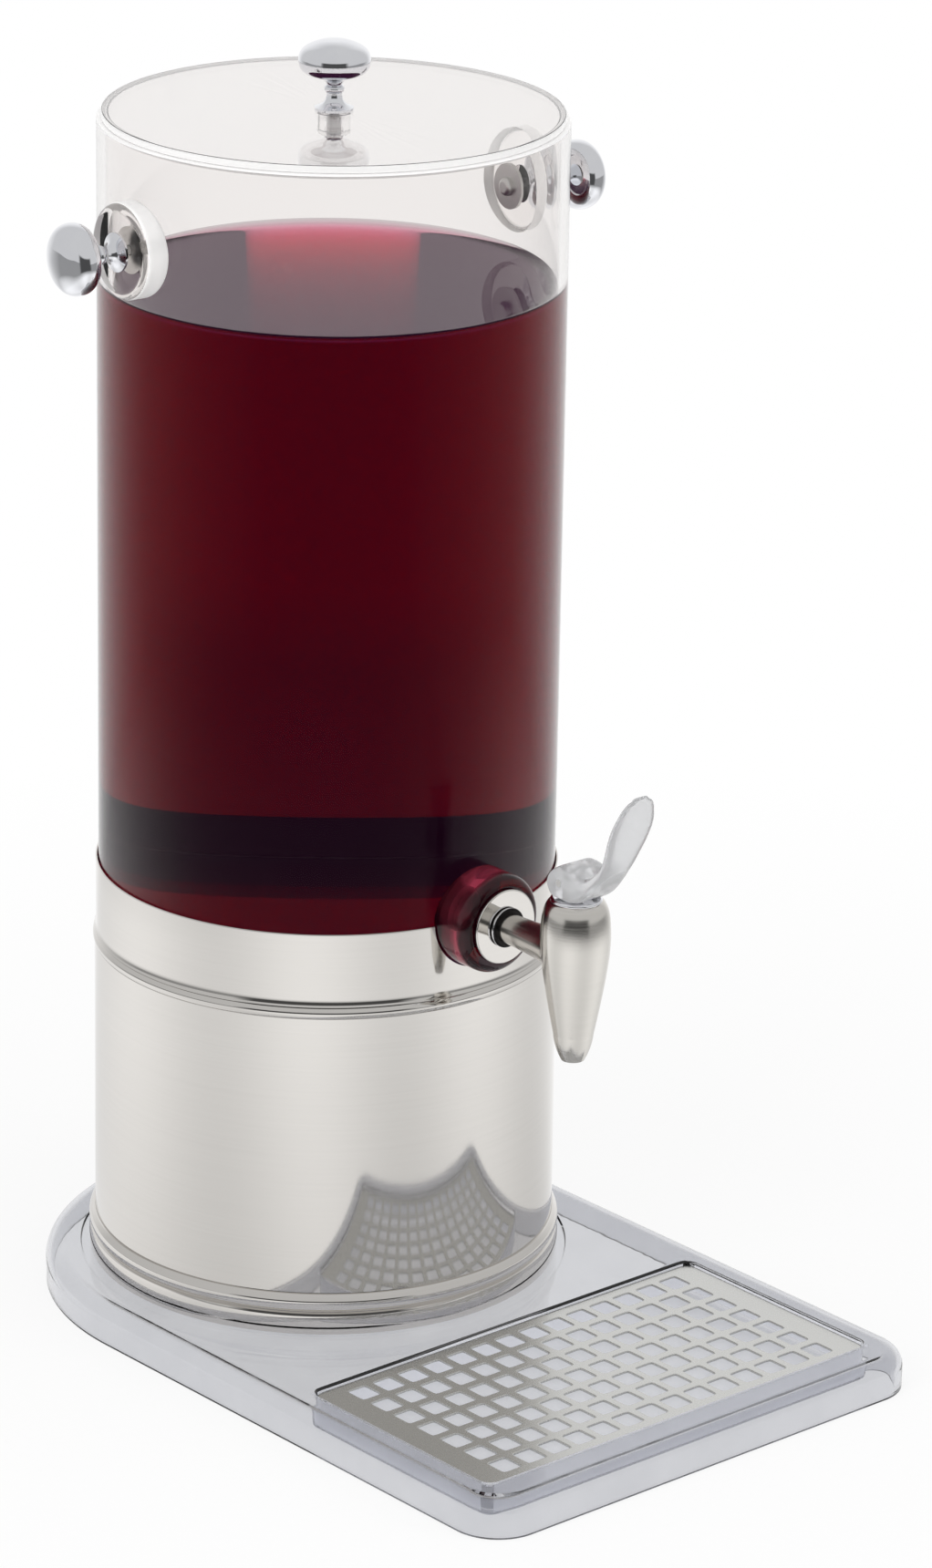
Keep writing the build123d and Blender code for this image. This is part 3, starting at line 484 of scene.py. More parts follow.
# %% Mirror-polished stainless
MOP_LINE = np.array([70, 70, 1.1])
SHEET_WAVE = 45
MOP_GLOSS = {"From Min": 0.3, "From Max": 0.7, "To Min": 0.05, "To Max": 0.08}
WAVE_HEIGHT = 0.3
polished, tree, output, place = new_finish("polished_stainless_sheet")
round_lines = add_node(tree, "ShaderNodeMapping", {"Vector": place, "Scale": per_mm(MOP_LINE).tolist()})
lines = add_node(tree, "ShaderNodeTexNoise", {"Vector": round_lines.outputs[0], "Scale": 1.0, "Detail": 3.0})
waves = add_node(tree, "ShaderNodeTexNoise", {"Vector": place, "Scale": per_mm(SHEET_WAVE), "Detail": 1.0})
gloss = add_node(tree, "ShaderNodeMapRange", {"Value": lines.outputs["Fac"], **MOP_GLOSS})
relief = add_node(tree, "ShaderNodeBump", {
    "Height": waves.outputs["Fac"], "Strength": 0.35, "Distance": WAVE_HEIGHT * MM})
sheen = add_node(tree, "ShaderNodeValToRGB", {"Fac": lines.outputs["Fac"]})
sheen.color_ramp.elements[0].color = hex_colour("#d2cfcb")
sheen.color_ramp.elements[1].color = hex_colour("#d7d4d0")
metal = add_node(tree, "ShaderNodeBsdfPrincipled", {
    "Base Color": sheen.outputs["Color"], "Metallic": 1.0, "Roughness": gloss.outputs[0],
    "Normal": relief.outputs[0]})
tree.links.new(metal.outputs[0], output.inputs["Surface"])
print(polished.name)

# %% [markdown]
# The grid is the same sheet, rubbed to a fine satin. The knobs, the ferrule and the bonnet are chrome
# plated brass: bluish, almost without haze, with thumb smudges a few millimetres across. The ferrule's two
# edges, where it meets its neighbours, get a near black plating: a painted dark reflection, such as their
# rounded edges mirror there.

# %% Satin sheet and chrome plating
satin = mottled_finish("satin_punched_sheet", 0.7, ("#c4c4c2", "#d1d1ce"), {"Metallic": 1.0},
                       gloss=(0.3, 0.7, 0.2, 0.3))
chrome = mottled_finish("bright_chrome_plating", 7, ("#e2e3e8", "#eaebee"), {"Metallic": 1.0},
                        gloss=(0.4, 0.75, 0.02, 0.07))
# Painted dark reflection for the ferrule's two edges
painted_dark_reflection = mottled_finish("plating_with_painted_dark_reflection", 1.5, ("#1c1a1a", "#2e2c2b"),
                           {"Metallic": 1.0, "Roughness": 0.3})

# %% [markdown]
# The tap's body and spout are cast stainless, turned and buffed to a soft gloss. The buffing runs round the
# upright axis, so the fine lines are level rings. Screws, nuts, washers, the shank, the stem and the spring
# are plain stainless as it leaves the lathe or the press.

# %% Buffed and machined steel
buffed = mottled_finish("buffed_cast_stainless", (25, 25, 0.35), ("#cfccc6", "#dddad5"), {"Metallic": 1.0},
                        gloss=(0.3, 0.7, 0.14, 0.24), relief=(0.06, 0.2))
machined = mottled_finish("machined_stainless", 0.6, ("#d0cfcd", "#e1e0de"), {"Metallic": 1.0}, detail=4.0,
                          gloss=(0.3, 0.7, 0.3, 0.44))

# %% [markdown]
# ## Soft and frosted plastics
# The lever is a frosted translucent moulding. Light spreads inside it, so its thin paddle glows a little
# and its edges go darker. Most seals are milky silicone. The two on the tap's shank are painted a dark red,
# which stands in for the red light of the juice that the tap's boss would show where they are. The cold
# pack is blow-moulded polyethylene with a waxy, mottled skin.

# %% Frosted lever, silicone and polyethylene
SILICONE_INDEX = 1.41
frosted = mottled_finish("frosted_acrylic_moulding", 0.5, ("#f5f6f8", "#fcfcfd"), {
    "Roughness": 0.19, "IOR": ACRYLIC_INDEX, "Transmission Weight": 0.7}, detail=2.0, relief=(0.15, 0.1))
silicone = mottled_finish("milky_silicone", 3, ("#d5d6d4", "#e3e3e0"), {
    "Roughness": 0.35, "IOR": SILICONE_INDEX, "Transmission Weight": 0.88}, detail=2.0)
# Painted juice red: stands in for the red light that these seals hide behind the tap's boss
painted_red_silicone = mottled_finish("silicone_painted_juice_red", 3, ("#6c1620", "#822028"), {
    "Roughness": 0.4, "IOR": SILICONE_INDEX, "Transmission Weight": 0.3}, detail=2.0)
polythene = mottled_finish("blow_moulded_polyethylene", 5, ("#c4dae4", "#d6e6ec"), {
    "Roughness": 0.42, "IOR": 1.51}, detail=4.0, relief=(0.3, 0.4))

# %% [markdown]
# ## Juice
# A clear red berry juice. Its colour isn't on its surface: it comes from what the liquid takes out of the
# light on the way through. Red passes best, so a thin layer is pink and the full width of the container is
# a deep wine red. Fine pulp scatters a trace of pinkish violet back at the wall. Real scattering would need
# many more samples, so that trace is a painted glow of under one percent at the wall, and the top surface
# has a painted violet glow of about three percent.

# %% Juice
JUICE_Z = 460.5
JUICE_INDEX = 1.345
PASSES = (0.872, 0.0, 0.25, 1)  # how much red, green and blue the liquid lets through
DENSITY = 115.0
SWIRL = 60
PAINTED_GLOW_COLOUR = (1.0, 0.2, 0.85, 1)
WALL_GLOW = (0.0065, 0.0065, 0.0065, 1)
TOP_GLOW = (0.034, 0.034, 0.034, 1)
GLOW_PEAK, GLOW_END = 0.5, 0.62  # between one millimetre below the surface and one above it
juice_finish, tree, output, place = new_finish("clear_red_juice")
swirl = add_node(tree, "ShaderNodeTexNoise", {"Vector": place, "Scale": per_mm(SWIRL), "Detail": 2.0})
settle = add_node(tree, "ShaderNodeValToRGB", {"Fac": swirl.outputs["Fac"]})
settle.color_ramp.elements[0].color = hex_colour("#fdf8fa")
settle.color_ramp.elements[1].color = hex_colour("#ffffff")
height = add_node(tree, "ShaderNodeSeparateXYZ", {0: place}).outputs["Z"]
near_top = add_node(tree, "ShaderNodeMapRange", {
    "Value": height, "From Min": (JUICE_Z - 1) * MM, "From Max": (JUICE_Z + 1) * MM})
# Painted light: a pinkish violet glow, faint at the wall and strongest in the top surface
painted_glow = add_node(tree, "ShaderNodeValToRGB", {"Fac": near_top.outputs[0]})
painted_glow.color_ramp.elements[0].color = WALL_GLOW
painted_glow.color_ramp.elements[1].color = WALL_GLOW
painted_glow.color_ramp.elements[1].position = GLOW_END
painted_glow.color_ramp.elements.new(GLOW_PEAK).color = TOP_GLOW
liquid = add_node(tree, "ShaderNodeBsdfPrincipled", {
    "Base Color": settle.outputs["Color"], "Roughness": 0.0, "IOR": JUICE_INDEX, "Transmission Weight": 1.0,
    "Specular Tint": BLACK, "Emission Color": PAINTED_GLOW_COLOUR, "Emission Strength": painted_glow.outputs[0]})
depth_colour = add_node(tree, "ShaderNodeVolumeAbsorption", {"Color": PASSES, "Density": DENSITY})
tree.links.new(liquid.outputs[0], output.inputs["Surface"])
tree.links.new(depth_colour.outputs[0], output.inputs["Volume"])
print(juice_finish.name)

# %% [markdown]
# ## Surface helpers
# A new piece is a grid of points: an outline with rounded corners, carried round an axis or round a plan.
# Where a whole row falls on one point, such as the middle of a disc, the row is merged into a pole.

# %% Outlines
TINY = 1e-9  # keeps a division away from nothing


def rounded(corners, steps=8):
    """Outline through (u, v, radius) corners, where a corner with a radius is an arc that touches both sides.

    The arc begins radius / tan(h) before the corner, where h is half the corner's angle, and turns about the
    point that lies radius / sin(h) from the corner along its bisector.
    """
    corners = np.array(corners, float)
    here, radius = corners[:, :2], corners[:, 2:]
    before = np.roll(here, 1, axis=0) - here
    after = np.roll(here, -1, axis=0) - here
    before /= np.linalg.norm(before, axis=1, keepdims=True)
    after /= np.linalg.norm(after, axis=1, keepdims=True)
    cosine = np.clip((before * after).sum(axis=1, keepdims=True), -1, 1)
    half = np.maximum(np.arccos(cosine) / 2, TINY)
    bisector = before + after
    bisector /= np.maximum(np.linalg.norm(bisector, axis=1, keepdims=True), TINY)
    centre = here + bisector * radius / np.sin(half)
    start = here + before * radius / np.tan(half) - centre
    end = here + after * radius / np.tan(half) - centre
    turn = np.pi - 2 * half
    share = np.linspace(0, 1, steps + 1)[:, None, None]
    swept = np.sin((1 - share) * turn) * start + np.sin(share * turn) * end
    arcs = centre + swept / np.maximum(np.sin(turn), TINY)
    keep = (radius > 0) | (np.arange(steps + 1) == 0)
    return arcs.transpose(1, 0, 2)[keep]


def braced(outline, closed=False, margin=0.3):
    """The outline with a point near both ends of each long straight, so that smooth shading keeps it flat."""
    following = np.roll(outline, -1, axis=0)
    step = following - outline
    length = np.linalg.norm(step, axis=1, keepdims=True)
    unit = step / np.maximum(length, TINY)
    long = length[:, 0] > 4 * margin
    long[-1] &= closed
    points = np.stack([outline, outline + unit * margin, following - unit * margin], axis=1)
    return points[np.stack([np.ones_like(long), long, long], axis=1)]


print(len(rounded([(0, 0, 0), (10, 0, 2), (10, 10, 0)])), "points with one rounded corner")

# %% [markdown]
# An outline becomes rows of points when it is turned about the drum's axis, and the faces lie between
# neighbouring rows.


# %% Rows
def turned(outline, steps=384):
    """Rows of points (r cos a, r sin a, z): each (r, z) of the outline runs once round the drum's axis."""
    angle = np.linspace(0, 2 * np.pi, steps, endpoint=False)
    radius, height = outline[:, :1], outline[:, 1:]
    return np.stack([radius * np.cos(angle), AXIS_Y + radius * np.sin(angle), height + 0 * angle], axis=-1)


def row_faces(rows, closed=False):
    """Quads between neighbouring rows of points. The columns run round, and closed rows do so too."""
    count, columns = rows.shape[:2]
    row, column = np.meshgrid(np.arange(count if closed else count - 1), np.arange(columns), indexing="ij")
    below, beside = (row + 1) % count, (column + 1) % columns
    corners = [(row, column), (row, beside), (below, beside), (below, column)]
    return np.stack([line * columns + place for line, place in corners], axis=-1).reshape(-1, 4)


print(turned(np.array([[1.0, 0.0], [1.0, 1.0]])).shape, "points in two turned rows")

# %% [markdown]
# A piece is one mesh with doubles merged, faces outwards and smooth shading but for its sharp edges. It
# names the body that it rides on, its finish, and the solids that it stands for.

# %% Pieces
SAME_PLACE = 0.002  # points nearer than this are merged
SHARP = np.radians(35)


def closed_mesh(name, points, faces):
    """A mesh from points in millimetres, doubles merged and faces outwards, and its number of open edges."""
    mesh = bpy.data.meshes.new(name)
    mesh.from_pydata(points.reshape(-1, 3) * MM, [], faces)
    work = bmesh.new()
    work.from_mesh(mesh)
    bmesh.ops.remove_doubles(work, verts=work.verts, dist=SAME_PLACE * MM)
    bmesh.ops.recalc_face_normals(work, faces=work.faces)
    open_edges = sum(not edge.is_manifold for edge in work.edges)
    work.to_mesh(mesh)
    work.free()
    return mesh, open_edges


def smooth(mesh):
    """Shade a mesh smooth, but for its sharp edges."""
    mesh.polygons.foreach_set("use_smooth", np.ones(len(mesh.polygons), bool))
    mesh.set_sharp_from_angle(angle=SHARP)


def add_piece(name, points, faces, finish, body, replaces):
    """A new object from points in millimetres. A piece with no body is left unattached."""
    mesh, open_edges = closed_mesh(name, points, faces.tolist())
    smooth(mesh)
    mesh.materials.append(finish)
    piece = bpy.data.objects.new(name, mesh)
    bpy.context.scene.collection.objects.link(piece)
    if body:
        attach(piece, body)
    if replaces:
        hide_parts(*replaces)
    print(f"{name}: {len(mesh.polygons)} faces, {open_edges} open edges")
    return piece


def add_rows(name, rows, finish, body, replaces, closed=False):
    """A new object from rows of points, which close on themselves or end in poles."""
    return add_piece(name, rows, row_faces(rows, closed), finish, body, replaces)


# %% [markdown]
# ## Base tray
# One clear moulding to the eye: a skirt with a well rounded top edge, a half-round back, and a tub let into
# the deck. It could be cut from blocks with Booleans, but those leave ragged shading round the tub's mouth.
# Every upright section through the tub's middle has the same steps, so the tray is a section carried round
# that middle: each of its points lies a set distance inside the tub's outline or inside the tray's outline.

# %% Tray outlines
TRAY_HALF = tray_high[0]
TRAY_CORNER = 22.0
TUB_Y = (tub_low[1] + tub_high[1]) / 2
TUB_HALF = np.array([tub_high[0], (tub_high[1] - tub_low[1]) / 2]) + AIR
TUB_CORNER = 5.0
LEAST_CORNER = 0.5
TRAY_STEPS = 600


def corner_reach(across, along, centre_x, centre_y, radius):
    """Distance along a ray from the origin to the far side of a circle: q + sqrt(q squared - c squared + r
    squared), where q is the centre's part along the ray."""
    near = across * centre_x + along * centre_y
    return near + np.sqrt(np.maximum(near**2 - centre_x**2 - centre_y**2 + radius**2, 0))


def box_reach(angle, half_x, half_y, corner):
    """Distance from the middle of a rounded rectangle to its outline.

    That is the distance to the nearer side, or to the corner's arc where the side is met beyond the arc's
    beginning.
    """
    across, along = np.abs(np.cos(angle)), np.abs(np.sin(angle))
    reach = np.minimum(half_x / np.maximum(across, TINY), half_y / np.maximum(along, TINY))
    in_corner = (reach * across > half_x - corner) & (reach * along > half_y - corner)
    return np.where(in_corner, corner_reach(across, along, half_x - corner, half_y - corner, corner), reach)


def tray_reach(angle, inset):
    """Distance from the tub's middle to the tray's outline drawn in by an inset.

    The outline has straight sides, a straight front with two round corners, and a half circle about the
    drum's axis at the back.
    """
    across, along = np.abs(np.cos(angle)), np.sin(angle)
    half, front, back = TRAY_HALF - inset, tray_low[1] + inset - TUB_Y, AXIS_Y - TUB_Y
    corner = TRAY_CORNER - inset
    reach = half / np.maximum(across, TINY)
    reach = np.where(along < 0, np.minimum(reach, front / np.minimum(along, -TINY)), reach)
    in_corner = (reach * across > half - corner) & (reach * along < front + corner)
    reach = np.where(in_corner, corner_reach(across, along, half - corner, front + corner, corner), reach)
    return np.where(reach * along > back, corner_reach(across, along, 0, back, half), reach)


tray_turn = np.linspace(0, 2 * np.pi, TRAY_STEPS, endpoint=False)
print("tray reach", tray_reach(tray_turn, 0).min().round(1), "to", tray_reach(tray_turn, 0).max().round(1))

# %% [markdown]
# A section is a list of (inset, height, corner radius). Two of them lie inside the tub's outline: its
# floor, wall and rim with the deck beside it, and the underside. The third lies inside the tray's outline:
# the deck's rounded edge and the skirt.

# %% Base tray
DECK = 3.5
SKIRT = 3
FLAT_FROM = 9.6  # how far inside the tray's outline the deck is flat
TUB_FLOOR = 4.5
TUB_WALL = 2.5
IN_TUB, ON_DECK = 30, -2  # how far from the tub's outline its sections reach
deck_z, deck_under = tray_high[2], tray_high[2] - DECK + AIR
rim_z, tub_under = tub_high[2], tub_low[2]
tub_section = braced(rounded([
    (IN_TUB, TUB_FLOOR, 0), (TUB_WALL, TUB_FLOOR, 1.8), (TUB_WALL, rim_z, 0.3), (0, rim_z, 0.3),
    (0, deck_z, 1.1), (ON_DECK, deck_z, 0)]))
edge_section = braced(rounded([
    (FLAT_FROM, deck_z, 0), (0, deck_z, 8), (0, 0, 0.6), (SKIRT, 0, 0.6), (SKIRT, deck_under, 5),
    (FLAT_FROM, deck_under, 0)], steps=14))
under_section = braced(rounded([
    (ON_DECK, deck_under, 0), (0, deck_under, 0.8), (0, tub_under, 2.2), (IN_TUB, tub_under, 0)]))


def section_rows(section, tub):
    """Rows of points round the tub's middle, for (inset, height) pairs inside the tub's or tray's outline."""
    inset, height = section[:, :1], section[:, 1:]
    if tub:
        corner = np.maximum(TUB_CORNER - inset, LEAST_CORNER)
        reach = box_reach(tray_turn, TUB_HALF[0] - inset, TUB_HALF[1] - inset, corner)
    else:
        reach = tray_reach(tray_turn, inset)
    x, y = reach * np.cos(tray_turn), TUB_Y + reach * np.sin(tray_turn)
    return np.stack([x, y, height + 0 * tray_turn], axis=-1)


def middle_row(height):
    """A whole row on the tub's middle, which becomes a pole."""
    return np.tile([0.0, TUB_Y, height], (1, TRAY_STEPS, 1))


tray_rows = np.concatenate([
    middle_row(TUB_FLOOR), section_rows(tub_section, True), section_rows(edge_section, False),
    section_rows(under_section, True), middle_row(tub_under)])
tray = add_rows("moulded_tray", tray_rows, tray_plastic, "base", ["base_tray", "drip_tub"])

# %% [markdown]
# The drum stands in a round seat, a millimetre deep, pressed into the deck. It crosses the section's rows,
# so it is cut with a Boolean.

# %% Seat in the deck
SEAT_RADIUS = 108.0
SEAT_FLARE = 0.6
SEAT_STEPS = 256
ABOVE = 0.2  # how far the cutter stands out of the deck


def cut_away(piece, points, faces):
    """Cut a closed shape, in millimetres, out of a piece with a Boolean modifier, applied."""
    mesh, open_edges = closed_mesh("cutter", points, faces)
    cutter = bpy.data.objects.new("cutter", mesh)
    bpy.context.scene.collection.objects.link(cutter)
    cut = piece.modifiers.new("cut", "BOOLEAN")
    cut.operation = "DIFFERENCE"
    cut.object = cutter
    result = bpy.data.meshes.new_from_object(piece.evaluated_get(bpy.context.evaluated_depsgraph_get()))
    piece.modifiers.remove(cut)
    piece.data = result
    bpy.data.objects.remove(cutter)
    smooth(result)
    print(f"{piece.name}: {len(result.polygons)} faces after the cut, {open_edges} open edges on the cutter")


seat_z = drum_low[2] - AIR
seat_rows = turned(np.array([
    [0, seat_z], [SEAT_RADIUS, seat_z], [SEAT_RADIUS + SEAT_FLARE, deck_z + ABOVE], [0, deck_z + ABOVE]]),
    steps=SEAT_STEPS)
cut_away(tray, seat_rows, row_faces(seat_rows).tolist())

# %% [markdown]
# Some faces have another finish than the rest of their piece, and are told by where their middles lie. The
# first ones are the walls and the floor of the tub, apart from their rounded edges, with their glow and, on
# the floor, the grid's painted shade.

# %% Grain, glow and painted shade of the tub
WALL_FOOT, WALL_TOP = 2.4, 1.2  # height of the rounded edges below and above the tub's walls


def face_places(piece):
    """The middle of each face as x, y from the drum's axis, and height, in millimetres."""
    middles = np.empty(3 * len(piece.data.polygons))
    piece.data.polygons.foreach_get("center", middles)
    return (middles.reshape(-1, 3) / MM - [0, AXIS_Y, 0]).T


def finish_faces(piece, finishes, numbers):
    """Give some faces other finishes: number 0 keeps the piece's own, 1 takes the first other one, and on."""
    for finish in finishes:
        piece.data.materials.append(finish)
    piece.data.polygons.foreach_set("material_index", numbers.astype(np.int32))
    print(f"{piece.name}: {np.bincount(numbers.astype(int)).tolist()} faces by finish")


x, y, height = face_places(tray)
beside = np.maximum(np.abs(x) - TUB_HALF[0], np.abs(y + AXIS_Y - TUB_Y) - TUB_HALF[1])
on_wall = (np.abs(beside) < 0.2) & (height > tub_under + WALL_FOOT) & (height < deck_z - WALL_TOP)
on_floor = (beside < 0) & (np.abs(height - TUB_FLOOR) < 0.1)
finish_faces(tray, tub_grain_glow_and_shade, on_wall + 2 * on_floor)

# %% [markdown]
# ## Drip grid
# A stainless sheet with square holes punched in it. Punching draws the upper edge of each hole in, so every
# hole has a small round lip that catches the light. One hole is a cell of rows from the cell's border into
# the hole and back out below, the cell is repeated, and a margin closes the sheet.

# %% Drip grid
GRID_PITCH = np.array([13.8, 15.0])  # across the tray and along it
GRID_HOLE = np.array([9.8, 10.8])
GRID_COUNT = np.array([14, 7])
HOLE_CORNER = 0.9
SHEET_CORNER = 4.4
CELL_STEPS = 6
HOLE_LIP, OUTER_LIP = 0.6, -0.8  # how far from the outline the flat sheet begins
grid_low, grid_high = node_box("drip_grid")
sheet_under, sheet_top = grid_low[2] + AIR, grid_high[2]
sheet_half = (grid_high[:2] - grid_low[:2]) / 2


def border(half_x, half_y, steps_x, steps_y):
    """Points round a rectangle, evenly spaced along each side, starting from one corner."""
    along_x = np.linspace(-1, 1, steps_x + 1)[:-1] * half_x
    along_y = np.linspace(-1, 1, steps_y + 1)[:-1] * half_y
    sides = [(along_x, -half_y + 0 * along_x), (half_x + 0 * along_y, along_y),
             (-along_x, half_y + 0 * along_x), (-half_x + 0 * along_y, -along_y)]
    return np.concatenate([np.stack(side, axis=-1) for side in sides])


def sheet_rows(edge, half_x, half_y, corner, lip):
    """Rows from an edge on the top of the sheet to an outline, over its lip, and back to the edge below.

    The lip's (growth, z) section starts beside the outline on the top and ends beside it underneath. A
    positive growth lies outside the outline.
    """
    angle = np.arctan2(edge[:, 1], edge[:, 0])
    growth, height = lip[:, :1], lip[:, 1:]
    reach = box_reach(angle, half_x + growth, half_y + growth, corner + growth)
    walls = np.stack([reach * np.cos(angle), reach * np.sin(angle), height + 0 * angle], axis=-1)
    top, under = (np.column_stack([edge, np.full(len(edge), z)])[None] for z in (sheet_top, sheet_under))
    return np.concatenate([top, walls, under])


hole_lip = rounded([
    (HOLE_LIP, sheet_top, 0), (0, sheet_top, 0.4), (0, sheet_under, 0.12), (HOLE_LIP, sheet_under, 0)],
    steps=4)
outer_lip = rounded([
    (OUTER_LIP, sheet_top, 0), (0, sheet_top, 0.35), (0, sheet_under, 0.3), (OUTER_LIP, sheet_under, 0)],
    steps=4)
cell = sheet_rows(border(*GRID_PITCH / 2, CELL_STEPS, CELL_STEPS), *GRID_HOLE / 2, HOLE_CORNER, hole_lip)
across, along = ((np.arange(count) - (count - 1) / 2) * pitch for count, pitch in zip(GRID_COUNT, GRID_PITCH))
places = np.stack(np.meshgrid(across, along, [0.0]), axis=-1).reshape(-1, 3)
cells = (cell.reshape(1, -1, 3) + places[:, None]).reshape(-1, 3)
cell_faces = row_faces(cell)[None] + np.arange(len(places))[:, None, None] * cell.shape[0] * cell.shape[1]
field = border(*GRID_PITCH * GRID_COUNT / 2, *CELL_STEPS * GRID_COUNT)
margin = sheet_rows(field, *sheet_half, SHEET_CORNER, outer_lip)
grid_points = np.concatenate([cells, margin.reshape(-1, 3)]) + [0, (grid_low[1] + grid_high[1]) / 2, 0]
grid_faces = np.concatenate([cell_faces.reshape(-1, 4), row_faces(margin) + len(cells)])
add_piece("punched_grid", grid_points, grid_faces, satin, "grid", ["drip_grid"])

# %% [markdown]
# ## Drum, plinth and collar
# Rolled and spun sheet. Each is a closed outline turned about the drum's axis: the beads are shallow curves
# through three points, and every cut edge is broken a little. The collar's rim dips in a round notch under
# the tap's boss.


# %% Drum and plinth
def curve(start, middle, end, steps=10):
    """Points of the shallow curve through three points a, m and b.

    It is (1 - t)^2 a + 2 t (1 - t) c + t^2 b, where the pull c is 2 m - (a + b) / 2.
    """
    start, middle, end = np.array([start, middle, end], float)
    share = np.linspace(0, 1, steps + 1)[:, None]
    pull = 2 * middle - (start + end) / 2
    return (1 - share) ** 2 * start + 2 * share * (1 - share) * pull + share**2 * end


DRUM_RADIUS = drum_high[0]
SHEET = 1.0
drum_foot, drum_top = drum_low[2], drum_high[2]
drum_outline = rounded([
    (DRUM_RADIUS - SHEET, drum_foot, 0.15), (DRUM_RADIUS, drum_foot, 0.15),
    (DRUM_RADIUS, drum_top - AIR, 0.25), (DRUM_RADIUS - SHEET, drum_top - AIR, 0.15)], steps=4)
drum_rows = turned(braced(drum_outline, closed=True))
add_rows("rolled_drum", drum_rows, polished, "base", ["drum_shell"], closed=True)

BAND_TOP = 27.2
GROOVE_RADIUS = 103.0
BROKEN = 0.6  # how far the band's edges and the bead's top are drawn in
plinth_high = node_box("plinth_ring")[1]
PLINTH_RADIUS, plinth_top = plinth_high[0], plinth_high[2]
plinth_inner = DRUM_RADIUS + AIR
plinth_outline = np.concatenate([
    [(plinth_inner, drum_foot)],
    curve((PLINTH_RADIUS - BROKEN, drum_foot), (PLINTH_RADIUS, (drum_foot + BAND_TOP) / 2),
          (PLINTH_RADIUS - BROKEN, BAND_TOP - BROKEN)),
    [(GROOVE_RADIUS + 0.25, BAND_TOP - 0.12), (GROOVE_RADIUS, BAND_TOP)],
    curve((GROOVE_RADIUS, BAND_TOP + 0.1), (PLINTH_RADIUS, (BAND_TOP + plinth_top) / 2),
          (GROOVE_RADIUS, plinth_top - BROKEN), steps=16),
    [(GROOVE_RADIUS - 0.4, plinth_top - 0.15), (plinth_inner, plinth_top)]])
plinth_rows = turned(braced(plinth_outline, closed=True))
add_rows("beaded_plinth", plinth_rows, polished, "base", ["plinth_ring"], closed=True)

# %% [markdown]
# The collar's outline runs from the skirt inside the drum over the bead and the groove to the rim, and back
# down to the ledge that the container stands on. Round the tap the rim's height follows a circle, and the
# wall below it is squeezed in proportion.

# %% Collar
COLLAR_RADIUS = 101.2
COLLAR_SHEET = 0.85
SKIRT_FOOT = 153.0
LEDGE_Z = 177.0
LEDGE_RADIUS = 88.0
LEDGE_SHEET = 2
NOTCH_GAP = 0.6
NOTCH_STEPS = 65
RIM_STEPS = 400
collar_top = node_box("collar_ring")[1][2]
wall_foot = LEDGE_Z + 0.6
skirt, skirt_inner = DRUM_RADIUS - SHEET - AIR, DRUM_RADIUS - SHEET - AIR - SHEET
collar_bore = COLLAR_RADIUS - COLLAR_SHEET
collar_outline = braced(np.concatenate([
    [(skirt, SKIRT_FOOT), (skirt, drum_top), (DRUM_RADIUS, drum_top)],
    curve((DRUM_RADIUS + 0.02, drum_top + 0.02), (102.5, drum_top + 2.2), (101.5, drum_top + 4.4), steps=14),
    [(101.9, drum_top + 4.9)],
    curve((101.85, drum_top + 5.2), (101.37, drum_top + 6.6), (COLLAR_RADIUS, drum_top + 9)),
    rounded([(COLLAR_RADIUS, wall_foot, 0), (COLLAR_RADIUS, collar_top, 0.3), (collar_bore, collar_top, 0.3),
             (collar_bore, wall_foot, 0)], steps=5),
    [(collar_bore, LEDGE_Z), (LEDGE_RADIUS, LEDGE_Z), (LEDGE_RADIUS, LEDGE_Z - LEDGE_SHEET),
     (skirt_inner, LEDGE_Z - LEDGE_SHEET), (skirt_inner, SKIRT_FOOT)]]), closed=True)
tap_low, tap_high = node_box("tap_boss")
tap_z = (tap_low[2] + tap_high[2]) / 2
notch = (tap_high[2] - tap_low[2]) / 2 + NOTCH_GAP
notch_turn = np.linspace(-np.pi / 2, np.pi / 2, NOTCH_STEPS)
notch_edge = np.arcsin(notch / COLLAR_RADIUS)
from_front = np.concatenate([np.arcsin(notch * np.sin(notch_turn) / COLLAR_RADIUS),
                             np.linspace(notch_edge, 2 * np.pi - notch_edge, RIM_STEPS)])
notch_top = np.minimum(tap_z - notch * np.cos(notch_turn), collar_top)
top_at = np.concatenate([notch_top, np.full(RIM_STEPS, collar_top)])
radius, height = collar_outline[:, :1], collar_outline[:, 1:]
dipped = wall_foot + (height - wall_foot) * (top_at - wall_foot) / (collar_top - wall_foot)
collar_rows = np.stack([radius * np.sin(from_front), AXIS_Y - radius * np.cos(from_front),
                        np.where(height > wall_foot, dipped, height + 0 * top_at)], axis=-1)
add_rows("spun_collar", collar_rows, polished, "base", ["collar_ring"], closed=True)

# %% [markdown]
# ## Container
# The tube and its floor are glued acrylic, and light passes from one into the other without a seam, so they
# are one cup here. Its outline is turned about the drum's axis in many steps, because the edge of a tube
# full of dark juice shows every corner. Behind each boss the wall has close rows, so that the glued faces
# can be told from the bare ones.

